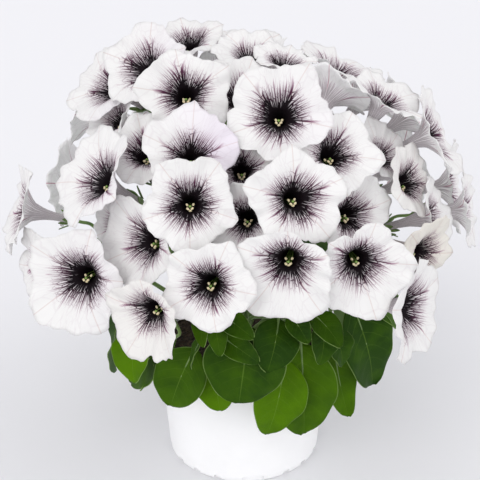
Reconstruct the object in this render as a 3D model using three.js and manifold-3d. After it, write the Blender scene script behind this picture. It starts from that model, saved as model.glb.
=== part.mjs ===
// A white petunia with dark-veined throats, in full flower in a round nursery pot.
// Millimetres, +Z up, with the front towards -Y. The origin is the middle of the pot's flat underside.
// A turn is an angle round the pot, 0 at the front and growing to the right as seen from the front.
// A rise is an angle above the horizontal.

import * as THREE from "three";
import { mergeVertices } from "three/addons/utils/BufferGeometryUtils.js";
import Module from "manifold-3d";

// The pot: a thin white wall that widens a little towards a stepped rim, with drain notches round its foot.
const POT_HEIGHT = 102;
const POT_FOOT_RADIUS = 59;
const POT_TOP_RADIUS = 67;
const POT_WALL = 1.4;
const POT_FLOOR = 2.2;
const POT_SIDES = 30;
const FOOT_ROUND = 2.5;
const LIP_ROUND = 0.85;
const RIM_DEPTH = 9;
const RIM_STEP = 3;
const WIDE_NOTCH = { width: 17, height: 5.5, firstTurn: 7 };
const NARROW_NOTCH = { width: 6, height: 4.5, turnsAfterWide: [27, 45, 63] };
const NOTCH_REACH_IN = 5;

// The soil: a plug of potting mix that fills the pot, a little higher in the middle.
const SOIL_TOP = 89;
const SOIL_CROWN = 94;
const SOIL_SHOULDER = 0.6;
const SOIL_SIDES = 24;
const HOLE_SIDES = 16;
const FIT_GAP = 0.3;

// The plant's crown and stems.
const CROWN_RADIUS = 7;
const CROWN_FOOT = 62;
const CROWN_TOP = 99;
const CROWN_SIDES = 10;
const STEM_RADIUS = 2.2;
const STEM_SIDES = 5;
const STEM_STEPS = 5;
const JOINTS_PER_STEP = 4;
const LEAST_AHEAD = 0.2;
const OUTER_STEM_TURNS = [-84, -46, -13, 28, 60, 105, 150, 192, 234];
const OUTER_STEM = [[3, 97], [16, 107], [40, 124], [70, 148], [96, 166]];
const INNER_STEM_TURNS = [8, 128, 248];
const INNER_STEM = [[2, 94], [8, 120], [18, 165], [30, 208], [36, 244]];

// The dome that the flowers' throats lie on.
const DOME_MIDDLE = 190;
const DOME_ACROSS = 158;
const DOME_DEEP = 148;
const DOME_TALL = 140;

// One flower: a funnel of five fused petals. Shares are of the flower's radius.
const LOBES = 5;
const THROAT_SHARE = 0.25;
const THROAT_SINK = 2;
const MIDDLE_SHARE = 0.58;
const MIDDLE_LIFT = 0.19;
const EDGE_LIFT = 0.29;
const LOBE_POINT = 0.04;
const LOBE_NOTCH = 0.08;
const PETAL_THICK = 0.9;
const THROAT_THICK_SHARE = 0.6;
const RUFFLE = 2.1;
const EDGE_WAVES = [{ count: 2, most: 0.8 }, { count: 3, most: 0.7 }, { count: 4, most: 0.5 }];
const LEAST_WAVE = 0.4;
const STRETCH = { count: 2, most: 0.06 };
const RIB_SINK = 0.35;
const CURL_SHORTENS = 0.35;
const THROAT_DEPTH = 15;
const TUBE_LENGTH = 33;
const TUBE_FOOT_RADIUS = 2.6;

// Its green calyx, and the flower stalk that ends in it.
const SEPAL_LENGTH = 9;
const SEPAL_SPREADS = [8.5, 6];
const CALYX_RADIUS = 3.4;
const CALYX_DEPTH = 3.5;
const STALK_RADIUS = 1.3;
const STALK_STRAIGHT = 16;
const STALK_JOINTS = 8;

// How a flower gives way to its neighbours: it is set back or forward, leans on its stalk to one side,
// and keeps the petals on one side tucked in. The way that costs least is taken first.
const SIDES = 8;
const SET_BACK = { from: -6, to: 24, step: 2, forwardCost: 1.5 };
const LEAN = { angles: [0, 8, 16], cost: 0.7 };
const TUCK = { shares: [0, 0.35, 0.6], cost: 22 };
const PETAL_GAP = 0.4;
const FIRST_UNDERSIDE_RING = 4;

// Leaves.
const LEAF_THICK = 1.3;
const PETIOLE_HALF_WIDTH = 1.4;
const PETIOLE_FOOT = 0.08;
const BLADE_STATIONS = [0.12, 0.36, 0.64, 0.87];
const LEAF_FOLD = 0.22;
const LEAF_TIPS_UP = 0.7;
const LEAF_WAVE = { size: 1.6, forWidth: 40, turns: 7 };
const LEAF_OVAL = { broadNearFoot: 0.8, roundness: 0.75 };
const BEND_TRIES = [0, 8, -8, 16, -16, 24, -24, 34];

const FLOWER_WHITE = 0xf5f2f4;
const LEAF_GREEN = 0x4c7a2a;
const POT_WHITE = 0xf6f6f6;
const SOIL_BROWN = 0x2f241c;
const PETAL_ROUGHNESS = 0.7;
const LEAF_ROUGHNESS = 0.6;
const PLASTIC_ROUGHNESS = 0.35;
const SOIL_ROUGHNESS = 0.95;

// The flowers that the front shows, the foremost first, because each is set back until it clears the ones
// before it. Place on the dome: turn, rise and how far out. Facing: turn and rise. Then the radius, the
// spin of its first lobe clockwise from the top, and where given the side on which its petals are longer,
// with the share, and a petal that curls, with its lobe and how far.
const FRONT_FLOWERS = [
  { place: [11, 18, 4], face: [-8, 8], radius: 31, spin: 0, longer: [195, 0.3] },
  { place: [-7.5, 13.5, 2], face: [-5, 24], radius: 29, spin: 21 },
  { place: [-16, 31.5, 3], face: [1, 24], radius: 30, spin: 36 },
  { place: [15, 33, 2], face: [13, 25], radius: 31, spin: 0 },
  { place: [30, 15, 2], face: [9, 10], radius: 31, spin: 21, longer: [155, 0.2] },
  { place: [-44, 7, 3], face: [-20, 14], radius: 35, spin: 10, longer: [230, 0.12] },
  { place: [-21.5, 5, 4], face: [-32, 4], radius: 28, spin: -12, longer: [200, 0.25], curl: [2, 5] },
  { place: [16, 56, 2], face: [-4, 33], radius: 34, spin: 30, curl: [2, 9] },
  { place: [-20, 44, -2], face: [2, 40], radius: 32, spin: 5 },
  { place: [-36, 62, 0], face: [-3, 35], radius: 30, spin: -14 },
  { place: [-28, 20, -9], face: [-46, 16], radius: 33, spin: 15, longer: [245, 0.15] },
  { place: [-47, 29.5, 0], face: [-58, 31], radius: 33, spin: 25, longer: [270, 0.18] },
  { place: [33, 43, -3], face: [24, 42], radius: 30, spin: 40 },
  { place: [3, 29, -14], face: [0, 28], radius: 25, spin: 30 },
  { place: [-4, 43.5, -16], face: [-6, 34], radius: 22, spin: 0 },
  { place: [44, -2, 0], face: [62, 5], radius: 36, spin: 8 },
  { place: [36.5, 25.5, -16], face: [34, 22], radius: 31, spin: 12 },
  { place: [-45, 42, -12], face: [-22, 52], radius: 27, spin: 50 },
  { place: [-43, 25, -18], face: [-40, 26], radius: 20, spin: 20 },
  { place: [55, 8, 0], face: [50, -2], radius: 29, spin: 33, curl: [3, -8] },
  { place: [64, 14, -4], face: [70, 16], radius: 27, spin: 11 },
  { place: [62, 27, -9], face: [56, 30], radius: 27, spin: 47 },
  { place: [61, 37, -10], face: [60, 42], radius: 25, spin: 5 },
  { place: [69, 46, 2], face: [62, 54], radius: 29, spin: 62 },
  { place: [-84, 8, 2], face: [-80, 18], radius: 33, spin: 18 },
  { place: [-70, -3, -6], face: [-62, 2], radius: 30, spin: 41 },
  { place: [-84, 62, 0], face: [-42, 46], radius: 32, spin: -20 },
  { place: [-92, 49, 0], face: [-58, 38], radius: 31, spin: 9 },
  { place: [-80, 45, -12], face: [-68, 40], radius: 26, spin: 28 },
  { place: [0, 68, -12], face: [4, 50], radius: 28, spin: 14 },
  { place: [82, 32, 0], face: [80, 28], radius: 33, spin: 36 },
  { place: [84, 8, 2], face: [76, 12], radius: 28, spin: 20 },
  { place: [74, 58, -4], face: [126, 34], radius: 28, spin: 55 },
  { place: [60, 73, -6], face: [62, 66], radius: 22, spin: 3 },
  { place: [-124, 70, 0], face: [-40, 76], radius: 27, spin: 22 },
  { place: [60, 88, -6], face: [10, 78], radius: 26, spin: 44 },
];

// The flowers round the back, in rows: each row's rise, its first and last turn, its number, and how far
// out from the dome it lies.
const BACK_ROWS = [
  { rise: 3, turns: [106, 242], count: 7, out: 0 },
  { rise: 27, turns: [116, 228], count: 6, out: -6 },
  { rise: 50, turns: [128, 230], count: 4, out: -16 },
  { rise: 68, turns: [192, 192], count: 1, out: -8 },
];
const BACK_FLOWER = {
  radius: 35,
  radiusSpread: 2,
  turnSpread: 5,
  riseSpread: 4,
  outSpread: 3,
  faceLift: 8,
  faceSpread: 9,
  fan: 1.3,
};
const BACK_SEED = 4099;

// The leaves that the front shows, each from the foot of its blade to its tip: turn, distance from the
// pot's axis and height. Then the blade's width, how far it arches up, and its roll to the right.
const FRONT_LEAVES = [
  { foot: [2, 90, 158], tip: [-2, 108, 106], width: 58, arch: 8, roll: 0 },
  { foot: [19, 88, 128], tip: [10, 96, 70], width: 40, arch: 6, roll: -5 },
  { foot: [28, 86, 136], tip: [29, 91, 60], width: 48, arch: 5, roll: 20 },
  { foot: [-24, 86, 134], tip: [-32, 100, 88], width: 40, arch: 6, roll: -10 },
  { foot: [-14, 84, 124], tip: [-11, 91, 87], width: 30, arch: 3, roll: 5 },
  { foot: [57, 92, 156], tip: [70, 104, 74], width: 44, arch: 7, roll: 32 },
  { foot: [52, 84, 122], tip: [60, 92, 52], width: 28, arch: -4, roll: 35 },
  { foot: [-54, 92, 140], tip: [-45, 112, 104], width: 34, arch: 6, roll: -10 },
  { foot: [-44, 88, 122], tip: [-50, 100, 88], width: 16, arch: -3, roll: 50 },
  { foot: [-9, 100, 174], tip: [3, 121, 167], width: 17, arch: 3, roll: 0 },
  { foot: [-10, 99, 156], tip: [5, 117, 145], width: 18, arch: 3, roll: 0 },
  { foot: [-13, 101, 176], tip: [-8, 119, 151], width: 15, arch: 3, roll: -20 },
  { foot: [-17, 102, 174], tip: [-13, 124, 160], width: 12, arch: 3, roll: 0 },
  { foot: [-17, 96, 152], tip: [-21, 105, 128], width: 13, arch: 2, roll: 55 },
  { foot: [15, 92, 164], tip: [8, 113, 134], width: 33, arch: 6, roll: 0 },
  { foot: [19, 97, 170], tip: [22, 118, 156], width: 16, arch: 3, roll: 15 },
  { foot: [28, 98, 168], tip: [33, 123, 149], width: 20, arch: 4, roll: 0 },
  { foot: [35, 96, 156], tip: [29, 109, 130], width: 22, arch: 4, roll: 0 },
  { foot: [45, 88, 140], tip: [46, 99, 112], width: 24, arch: 4, roll: 0 },
  { foot: [61, 96, 164], tip: [75, 119, 122], width: 20, arch: 5, roll: 10 },
  { foot: [-36, 84, 136], tip: [-60, 98, 84], width: 36, arch: 6, roll: 0 },
];

// The leaves round the sides and back in rows, and those among the flower stalks that show as dark green
// between the flowers. foot and tip are distance from the axis and height. Drawn spreads set them apart.
const LEAF_ROWS = [
  { foot: [86, 128], tip: [98, 70], turns: [92, 268], count: 7, width: 42, arch: 6 },
  { foot: [92, 158], tip: [116, 112], turns: [82, 278], count: 7, width: 36, arch: 7 },
  { foot: [98, 172], tip: [126, 146], turns: [100, 262], count: 4, width: 24, arch: 5 },
];
const INNER_LEAVES = [
  { turn: -22, rise: 24, width: 30 },
  { turn: 4, rise: 44, width: 26 },
  { turn: 0, rise: 8, width: 30 },
  { turn: 24, rise: 22, width: 30 },
  { turn: 74, rise: 20, width: 30 },
  { turn: 200, rise: 38, width: 32 },
];
const INNER_LEAF = { footRise: -12, footOut: 0.42, tipRise: 4, tipOut: 0.74, arch: 4 };
const LEAF_SPREAD = { turn: 6, footRise: 6, tipTurn: 9, tipOut: 5, tipRise: 9, width: 5, roll: 18 };
const LEAF_SEED = 271;

const WELD = 1e-4;

const wasm = await Module();
wasm.setup();
const degrees = THREE.MathUtils.degToRad;
const mix = THREE.MathUtils.lerp;

// A run of seeded draws between 0 and 1.
function drawsFrom(seed) {
  let state = seed * 7919 + 12345;
  return () => {
    state = (state * 16807) % 2147483647;
    return state / 2147483647;
  };
}

// The unit vector of a turn and a rise.
function towards(turn, rise) {
  const flat = Math.cos(degrees(rise));
  return new THREE.Vector3(
    Math.sin(degrees(turn)) * flat,
    -Math.cos(degrees(turn)) * flat,
    Math.sin(degrees(rise)),
  );
}

// The point at a turn, a distance from the pot's axis and a height.
function around([turn, distance, height]) {
  return towards(turn, 0).multiplyScalar(distance).setZ(height);
}

// The point of the dome in a direction from its middle.
function onDome(turn, rise) {
  const way = towards(turn, rise);
  const reach = 1 / Math.hypot(way.x / DOME_ACROSS, way.y / DOME_DEEP, way.z / DOME_TALL);
  return way.multiplyScalar(reach).setZ(way.z + DOME_MIDDLE);
}

// A solid from any closed geometry, with its faces turned outwards.
function solidFrom(geometry) {
  const bare = geometry.clone();
  bare.deleteAttribute("normal");
  bare.deleteAttribute("uv");
  const merged = mergeVertices(bare, WELD);
  const spots = merged.attributes.position.array;
  const corners = merged.index.array;
  const corner = (i) => new THREE.Vector3().fromArray(spots, 3 * i);
  const faces = [];
  let sixVolumes = 0;
  for (let i = 0; i < corners.length; i += 3) {
    const [a, b, c] = corners.slice(i, i + 3);
    if (a !== b && b !== c && c !== a) {
      faces.push([a, b, c]);
      sixVolumes += corner(a).dot(corner(b).cross(corner(c)));
    }
  }
  const outward = sixVolumes > 0 ? faces : faces.map(([a, b, c]) => [a, c, b]);
  return new wasm.Manifold(new wasm.Mesh({
    numProp: 3,
    vertProperties: new Float32Array(spots),
    triVerts: new Uint32Array(outward.flat()),
  }));
}

function meshOf(name, solid, colour, roughness) {
  const { vertProperties, triVerts } = solid.getMesh();
  const geometry = new THREE.BufferGeometry();
  geometry.setAttribute("position", new THREE.BufferAttribute(new Float32Array(vertProperties), 3));
  geometry.setIndex(new THREE.BufferAttribute(new Uint32Array(triVerts), 1));
  geometry.computeVertexNormals();
  const material = new THREE.MeshStandardMaterial({ color: colour, roughness, metalness: 0 });
  const mesh = new THREE.Mesh(geometry, material);
  mesh.name = name;
  return mesh;
}

// The triangles between two neighbouring rings of a skin. The second ring has as many points as the
// first, twice or half as many, or one. Where `otherWay` says so, a square is split the other way.
function band(a, b, otherWay) {
  const faces = [];
  const fewer = Math.min(a.length, b.length);
  const count = fewer === 1 ? Math.max(a.length, b.length) : fewer;
  for (let j = 0; j < count; j += 1) {
    const next = (j + 1) % count;
    if (a.length === 1) {
      faces.push([a[0], b[next], b[j]]);
    } else if (b.length === 1) {
      faces.push([a[j], a[next], b[0]]);
    } else if (b.length === 2 * a.length) {
      const outer = [b[2 * j], b[2 * j + 1], b[(2 * j + 2) % b.length]];
      faces.push([a[j], outer[1], outer[0]], [a[j], a[next], outer[1]], [a[next], outer[2], outer[1]]);
    } else if (a.length === 2 * b.length) {
      const outer = [a[2 * j], a[2 * j + 1], a[(2 * j + 2) % a.length]];
      faces.push([outer[0], outer[1], b[j]], [outer[1], b[next], b[j]], [outer[1], outer[2], b[next]]);
    } else if (otherWay(j)) {
      faces.push([a[j], a[next], b[next]], [a[j], b[next], b[j]]);
    } else {
      faces.push([a[j], a[next], b[j]], [a[next], b[next], b[j]]);
    }
  }
  return faces;
}

// A closed skin over rings of points. The two faces of a petal or a leaf have to be split alike, or they
// cross where it is thin, so `otherWay` picks the diagonal by the ring and the place on it.
function skin(rings, otherWay = () => false) {
  const faces = [];
  for (let i = 0; i + 1 < rings.length; i += 1) {
    faces.push(...band(rings[i], rings[i + 1], (j) => otherWay(i, j)));
  }
  const geometry = new THREE.BufferGeometry().setFromPoints(faces.flat());
  return solidFrom(geometry);
}

// Places a solid made along +Z: its +Z turns to `face`, and its +Y turns up.
function frameAt(point, face) {
  const up = new THREE.Vector3(0, 0, 1).addScaledVector(face, -face.z).normalize();
  const right = new THREE.Vector3().crossVectors(up, face);
  return new THREE.Matrix4().makeBasis(right, up, face).setPosition(point);
}

// Whether a solid shares space with any of a list of others, each kept with its box. The one that it
// meets moves to the head of the list, because the next trial most often meets it too.
const withBox = (solid) => ({ solid, box: solid.boundingBox() });

function meetsAny(solid, others) {
  const { min, max } = solid.boundingBox();
  const met = others.findIndex(({ solid: other, box }) => {
    const apart = [0, 1, 2].some((k) => box.min[k] > max[k] || box.max[k] < min[k]);
    return !apart && !solid.intersect(other).isEmpty();
  });
  if (met > 0) {
    others.unshift(...others.splice(met, 1));
  }
  return met >= 0;
}

function makePot() {
  const wallAt = (z) => mix(POT_FOOT_RADIUS, POT_TOP_RADIUS, z / POT_HEIGHT);
  const rimFoot = POT_HEIGHT - RIM_DEPTH;
  const outline = [
    [0, 0],
    [POT_FOOT_RADIUS - FOOT_ROUND, 0],
    [POT_FOOT_RADIUS - 0.25 * FOOT_ROUND, 0.3 * FOOT_ROUND],
    [wallAt(FOOT_ROUND), FOOT_ROUND],
    [wallAt(rimFoot), rimFoot],
    [wallAt(rimFoot) + RIM_STEP, rimFoot + POT_WALL],
    [POT_TOP_RADIUS + RIM_STEP, POT_HEIGHT - LIP_ROUND],
    [POT_TOP_RADIUS + RIM_STEP - LIP_ROUND, POT_HEIGHT],
    [POT_TOP_RADIUS - POT_WALL + LIP_ROUND, POT_HEIGHT],
    [POT_TOP_RADIUS - POT_WALL, POT_HEIGHT - LIP_ROUND],
    [wallAt(POT_FLOOR) - POT_WALL, POT_FLOOR],
    [0, POT_FLOOR],
  ].map(([x, z]) => new THREE.Vector2(x, z));
  let pot = solidFrom(new THREE.LatheGeometry(outline, POT_SIDES).rotateX(Math.PI / 2));
  const cutNotch = ({ width, height }, turn) => {
    const reach = 3 * NOTCH_REACH_IN;
    const notch = new THREE.BoxGeometry(width, reach, 2 * height);
    notch.translate(0, -POT_FOOT_RADIUS + NOTCH_REACH_IN - reach / 2, 0);
    notch.rotateZ(degrees(turn));
    pot = pot.subtract(solidFrom(notch));
  };
  for (let quarter = 0; quarter < 4; quarter += 1) {
    const turn = WIDE_NOTCH.firstTurn + 90 * quarter;
    cutNotch(WIDE_NOTCH, turn);
    NARROW_NOTCH.turnsAfterWide.forEach((after) => cutNotch(NARROW_NOTCH, turn + after));
  }
  return pot;
}

function makeSoil() {
  const slope = (POT_TOP_RADIUS - POT_FOOT_RADIUS) / POT_HEIGHT;
  const clear = POT_WALL + 2 * FIT_GAP;
  const foot = POT_FLOOR + FIT_GAP;
  const outline = [
    [0, foot],
    [POT_FOOT_RADIUS + slope * foot - clear, foot],
    [POT_FOOT_RADIUS + slope * SOIL_TOP - clear, SOIL_TOP],
    [SOIL_SHOULDER * POT_TOP_RADIUS, mix(SOIL_TOP, SOIL_CROWN, SOIL_SHOULDER)],
    [0, SOIL_CROWN],
  ].map(([x, z]) => new THREE.Vector2(x, z));
  const plug = solidFrom(new THREE.LatheGeometry(outline, SOIL_SIDES).rotateX(Math.PI / 2));
  const depth = SOIL_CROWN - CROWN_FOOT;
  const holeRadius = CROWN_RADIUS + 2 * FIT_GAP;
  const hole = new THREE.CylinderGeometry(holeRadius, holeRadius, 2 * depth, HOLE_SIDES);
  hole.rotateX(Math.PI / 2).translate(0, 0, CROWN_FOOT - FIT_GAP + depth);
  return plug.subtract(solidFrom(hole));
}

// How one flower differs from the next: its longer and shorter lobes and the waves of its edge.
function characterOf(seed) {
  const draw = drawsFrom(seed);
  const wave = ({ count, most }) => {
    const size = most * mix(LEAST_WAVE, 1, draw());
    return { count, size, start: 2 * Math.PI * draw() };
  };
  const waves = EDGE_WAVES.map(wave);
  return { waves, rib: draw() - RIB_SINK, stretch: wave(STRETCH) };
}

const sumOfWaves = (waves, angle) =>
  waves.reduce((sum, { count, size, start }) => sum + size * Math.cos(count * angle + start), 0);

// How much longer the petals are at an angle from the top of the flower.
function longerAt(flower, angle) {
  if (!flower.longer) {
    return 0;
  }
  const [side, share] = flower.longer;
  return share * Math.cos(angle - degrees(side));
}

// The curled petal's share of its curl at an angle from the top of the flower.
function curlAt(flower, angle) {
  if (!flower.curl) {
    return 0;
  }
  const [lobe, lift] = flower.curl;
  const off = angle - degrees(flower.spin + (lobe * 360) / LOBES);
  return lift * Math.max(0, Math.cos(off)) ** 4;
}

// A point of the flower's face: the angle from its top, clockwise as seen from the front, and how far
// out it lies, from 0 at the throat to 1 at the edge.
function facePoint(flower, angle, out) {
  const { radius, tuck, character } = flower;
  const step = degrees(360 / LOBES);
  const fromLobe = angle - degrees(flower.spin);
  const besideRib = Math.abs(fromLobe / step - Math.round(fromLobe / step)) * 2;
  const lobed = 1 + LOBE_POINT * (1 - besideRib) ** 3 - LOBE_NOTCH * besideRib ** 4;
  const curl = curlAt(flower, angle);
  const open = 1 - tuck.amount * Math.max(0, Math.cos(angle - tuck.side)) ** 2;
  const throat = radius * THROAT_SHARE;
  const longer = 1 + longerAt(flower, angle);
  const uneven = lobed + sumOfWaves([character.stretch], angle);
  const edge = radius * longer * uneven - CURL_SHORTENS * Math.abs(curl);
  const rings = [throat, radius * MIDDLE_SHARE * longer, edge];
  const lifts = [-THROAT_SINK, radius * MIDDLE_LIFT, radius * EDGE_LIFT];
  const [inner, share] = out < 0.5 ? [0, 2 * out] : [1, 2 * out - 1];
  const reach = throat + open * (mix(rings[inner], rings[inner + 1], share) - throat);
  const lift = open * mix(lifts[inner], lifts[inner + 1], share);
  const ruffle = RUFFLE * (sumOfWaves(character.waves, angle) + character.rib * Math.cos(LOBES * fromLobe));
  const height = lift + open * out ** 2 * ruffle + curl * out ** 3;
  return new THREE.Vector3(reach * Math.sin(angle), reach * Math.cos(angle), height);
}

// A ring of points round the flower's face, and the same ring on the underside.
function faceRing(flower, out, count) {
  return Array.from({ length: count }, (_, i) =>
    facePoint(flower, degrees(flower.spin + (i * 360) / count), out));
}

// A flower of five fused petals and its tube, with the throat at the origin and facing +Z.
function makeCorolla(flower, thick = PETAL_THICK) {
  const ribs = 2 * LOBES;
  const underside = (ring) => ring.map((point) => point.clone().setZ(point.z - thick));
  const throat = faceRing(flower, 0, ribs);
  const middle = faceRing(flower, 0.5, ribs);
  const edge = faceRing(flower, 1, 2 * ribs);
  const throatOutside = throat.map((point) => {
    const wider = 1 + thick / (flower.radius * THROAT_SHARE);
    return new THREE.Vector3(point.x * wider, point.y * wider, point.z - THROAT_THICK_SHARE * thick);
  });
  const foot = Array.from({ length: LOBES }, (_, i) => {
    const angle = degrees(flower.spin + (i * 360) / LOBES);
    const [x, y] = [TUBE_FOOT_RADIUS * Math.sin(angle), TUBE_FOOT_RADIUS * Math.cos(angle)];
    return new THREE.Vector3(x, y, -TUBE_LENGTH);
  });
  return skin([
    [new THREE.Vector3(0, 0, -THROAT_DEPTH)],
    throat,
    middle,
    edge,
    underside(edge),
    underside(middle),
    throatOutside,
    foot,
    [new THREE.Vector3(0, 0, -TUBE_LENGTH)],
  ], (ring) => ring >= FIRST_UNDERSIDE_RING);
}

// A flower's stalk and calyx: a slim stalk from a joint on a stem, which straightens behind the flower
// and ends in a small cup with five narrow sepals that stand off the tube.
function makeHolder(frame, joint, spread) {
  const seat = -TUBE_LENGTH - FIT_GAP;
  const ring = (count, reachAt, heightAt) => Array.from({ length: count }, (_, i) => {
    const angle = (2 * Math.PI * i) / count;
    const reach = reachAt(i);
    return new THREE.Vector3(reach * Math.sin(angle), reach * Math.cos(angle), heightAt(i));
  });
  const isSepal = (i) => i % 2 === 0;
  const bend = ring(LOBES, () => STALK_RADIUS, () => seat - STALK_STRAIGHT);
  const flower = [
    bend,
    ring(
      2 * LOBES,
      (i) => (isSepal(i) ? spread : CALYX_RADIUS),
      (i) => (isSepal(i) ? seat + SEPAL_LENGTH : seat),
    ),
    [new THREE.Vector3(0, 0, seat - CALYX_DEPTH)],
  ].map((points) => points.map((point) => point.applyMatrix4(frame)));
  const middle = bend.reduce((sum, point) => sum.addScaledVector(point, 1 / LOBES), new THREE.Vector3());
  const along = joint.clone().sub(middle).normalize();
  const foot = bend.map((point) => {
    const beside = point.clone().sub(middle);
    return beside.addScaledVector(along, -beside.dot(along)).setLength(STALK_RADIUS).add(joint);
  });
  return skin([[joint.clone()], foot, ...flower]);
}

// A stem of even thickness along a smooth curve.
function makeStem(points, radius, sides, steps) {
  const section = new THREE.Shape(Array.from({ length: sides }, (_, i) => {
    const angle = (2 * Math.PI * i) / sides;
    return new THREE.Vector2(radius * Math.cos(angle), radius * Math.sin(angle));
  }));
  const path = new THREE.CatmullRomCurve3(points);
  return solidFrom(new THREE.ExtrudeGeometry(section, { steps, bevelEnabled: false, extrudePath: path }));
}

// A leaf: a short stalk from `root` to the foot of the blade, then an oval blade folded along its
// midrib, arched and waved, to the tip.
function makeLeaf({ root, foot, tip, width, arch, roll, seed }) {
  const draw = drawsFrom(seed);
  const along = tip.clone().sub(foot);
  const outward = new THREE.Vector3(foot.x, foot.y, 0).normalize().setZ(LEAF_TIPS_UP);
  const plain = outward.addScaledVector(along, -outward.dot(along) / along.lengthSq()).normalize();
  const face = plain.applyAxisAngle(along.clone().normalize(), degrees(roll));
  const side = new THREE.Vector3().crossVectors(along, face).normalize();
  const start = 2 * Math.PI * draw();
  const petiole = foot.clone().sub(root).normalize();
  const petioleFace = face.clone().addScaledVector(petiole, -face.dot(petiole)).normalize();
  const petioleSide = new THREE.Vector3().crossVectors(petiole, petioleFace);
  const nearRoot = root.clone().lerp(foot, PETIOLE_FOOT);
  const section = (centre, half, thick, lift, wave) => [
    centre.clone().addScaledVector(side, half).addScaledVector(face, lift + wave),
    centre.clone().addScaledVector(face, thick / 2),
    centre.clone().addScaledVector(side, -half).addScaledVector(face, lift - wave),
    centre.clone().addScaledVector(face, -thick / 2),
  ];
  const blade = (t) => {
    const half = 0.5 * width * Math.sin(Math.PI * t ** LEAF_OVAL.broadNearFoot) ** LEAF_OVAL.roundness;
    const centre = foot.clone().addScaledVector(along, t).addScaledVector(face, 4 * arch * t * (1 - t));
    const wave = LEAF_WAVE.size * (width / LEAF_WAVE.forWidth) * Math.sin(start + LEAF_WAVE.turns * t);
    return section(centre, half, LEAF_THICK, LEAF_FOLD * half, wave);
  };
  return skin([
    [root],
    [petioleSide, petioleFace, petioleSide.clone().negate(), petioleFace.clone().negate()]
      .map((way) => nearRoot.clone().addScaledVector(way, PETIOLE_HALF_WIDTH)),
    section(foot, PETIOLE_HALF_WIDTH, LEAF_THICK, 0, 0),
    ...BLADE_STATIONS.map(blade),
    [tip],
  ], (ring, place) => place % 2 === 1);
}

const pot = makePot();
const soil = makeSoil();

// The flowers round the back.
function backFlowers() {
  const draw = drawsFrom(BACK_SEED);
  const spread = (most) => most * (2 * draw() - 1);
  const flowers = [];
  for (const { rise, turns, count, out } of BACK_ROWS) {
    for (let i = 0; i < count; i += 1) {
      const turn = mix(...turns, i / Math.max(1, count - 1)) + spread(BACK_FLOWER.turnSpread);
      const height = rise + spread(BACK_FLOWER.riseSpread);
      const lift = BACK_FLOWER.faceLift + spread(BACK_FLOWER.faceSpread);
      flowers.push({
        place: [turn, height, out + spread(BACK_FLOWER.outSpread)],
        face: [180 + BACK_FLOWER.fan * (turn - 180) + spread(BACK_FLOWER.faceSpread), height + lift],
        radius: BACK_FLOWER.radius + spread(BACK_FLOWER.radiusSpread),
        spin: 72 * draw(),
      });
    }
  }
  return flowers;
}

// The ways in which a flower gives way, the least first.
function waysToGive() {
  const sided = (amounts) => amounts.flatMap((amount) => {
    const sides = Array.from({ length: amount ? SIDES : 1 }, (_, i) => (2 * Math.PI * i) / SIDES);
    return sides.map((side) => ({ amount, side }));
  });
  const ways = [];
  for (let back = SET_BACK.from; back <= SET_BACK.to; back += SET_BACK.step) {
    const moved = back < 0 ? -SET_BACK.forwardCost * back : back;
    for (const lean of sided(LEAN.angles)) {
      for (const tuck of sided(TUCK.shares)) {
        const cost = moved + LEAN.cost * lean.amount + TUCK.cost * tuck.amount;
        ways.push({ back, lean, tuck, cost });
      }
    }
  }
  return ways.sort((a, b) => a.cost - b.cost);
}

// The frame of a flower in its place on the dome, or as it leans when it gives way.
function frameOf({ place: [turn, rise, out], face }, { back, lean }) {
  const straight = towards(...face);
  const spot = onDome(turn, rise).addScaledVector(towards(turn, rise), out);
  const foot = spot.clone().addScaledVector(straight, -TUBE_LENGTH - back);
  const [right, up] = [new THREE.Vector3(), new THREE.Vector3()];
  frameAt(foot, straight).extractBasis(right, up, new THREE.Vector3());
  const hinge = right.multiplyScalar(Math.cos(lean.side)).addScaledVector(up, Math.sin(lean.side));
  const leaning = straight.clone().applyAxisAngle(hinge, degrees(lean.amount));
  return frameAt(foot.clone().addScaledVector(leaning, TUBE_LENGTH), leaning);
}

// The main stems, from the crown outwards and upwards.
const stemLines = [
  ...OUTER_STEM_TURNS.map((turn) => OUTER_STEM.map((spot) => around([turn, ...spot]))),
  ...INNER_STEM_TURNS.map((turn) => INNER_STEM.map((spot) => around([turn, ...spot]))),
];
const stems = stemLines.map((points) => makeStem(points, STEM_RADIUS, STEM_SIDES, STEM_STEPS));
const joints = stemLines.flatMap((points) => {
  const spots = new THREE.CatmullRomCurve3(points).getSpacedPoints(STEM_STEPS);
  return spots.slice(1, -1).flatMap((spot, i) =>
    Array.from({ length: JOINTS_PER_STEP }, (_, j) => spot.clone().lerp(spots[i + 2], j / JOINTS_PER_STEP)));
});

// The joints that a stalk reaches best from a point when it sets off one way: near, and well ahead of it.
function bestJoints(point, way, count) {
  const reached = joints.map((joint) => {
    const run = joint.clone().sub(point);
    const ahead = Math.cos(run.angleTo(way));
    return { joint, ahead, cost: run.length() * (2 - ahead) };
  });
  return reached.filter(({ ahead }) => ahead > LEAST_AHEAD)
    .sort((a, b) => a.cost - b.cost)
    .slice(0, count)
    .map(({ joint }) => joint);
}

// A flower's stalk and calyx from the nearest joint that they reach clear of what is already set.
function holderOf(frame, others) {
  const bend = new THREE.Vector3(0, 0, -TUBE_LENGTH - STALK_STRAIGHT).applyMatrix4(frame);
  const backwards = new THREE.Vector3(0, 0, -1).transformDirection(frame);
  const reached = bestJoints(bend, backwards, STALK_JOINTS);
  for (const spread of SEPAL_SPREADS) {
    for (const joint of reached) {
      const holder = makeHolder(frame, joint, spread);
      if (!meetsAny(holder, others)) {
        return holder;
      }
    }
  }
  return null;
}

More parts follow.
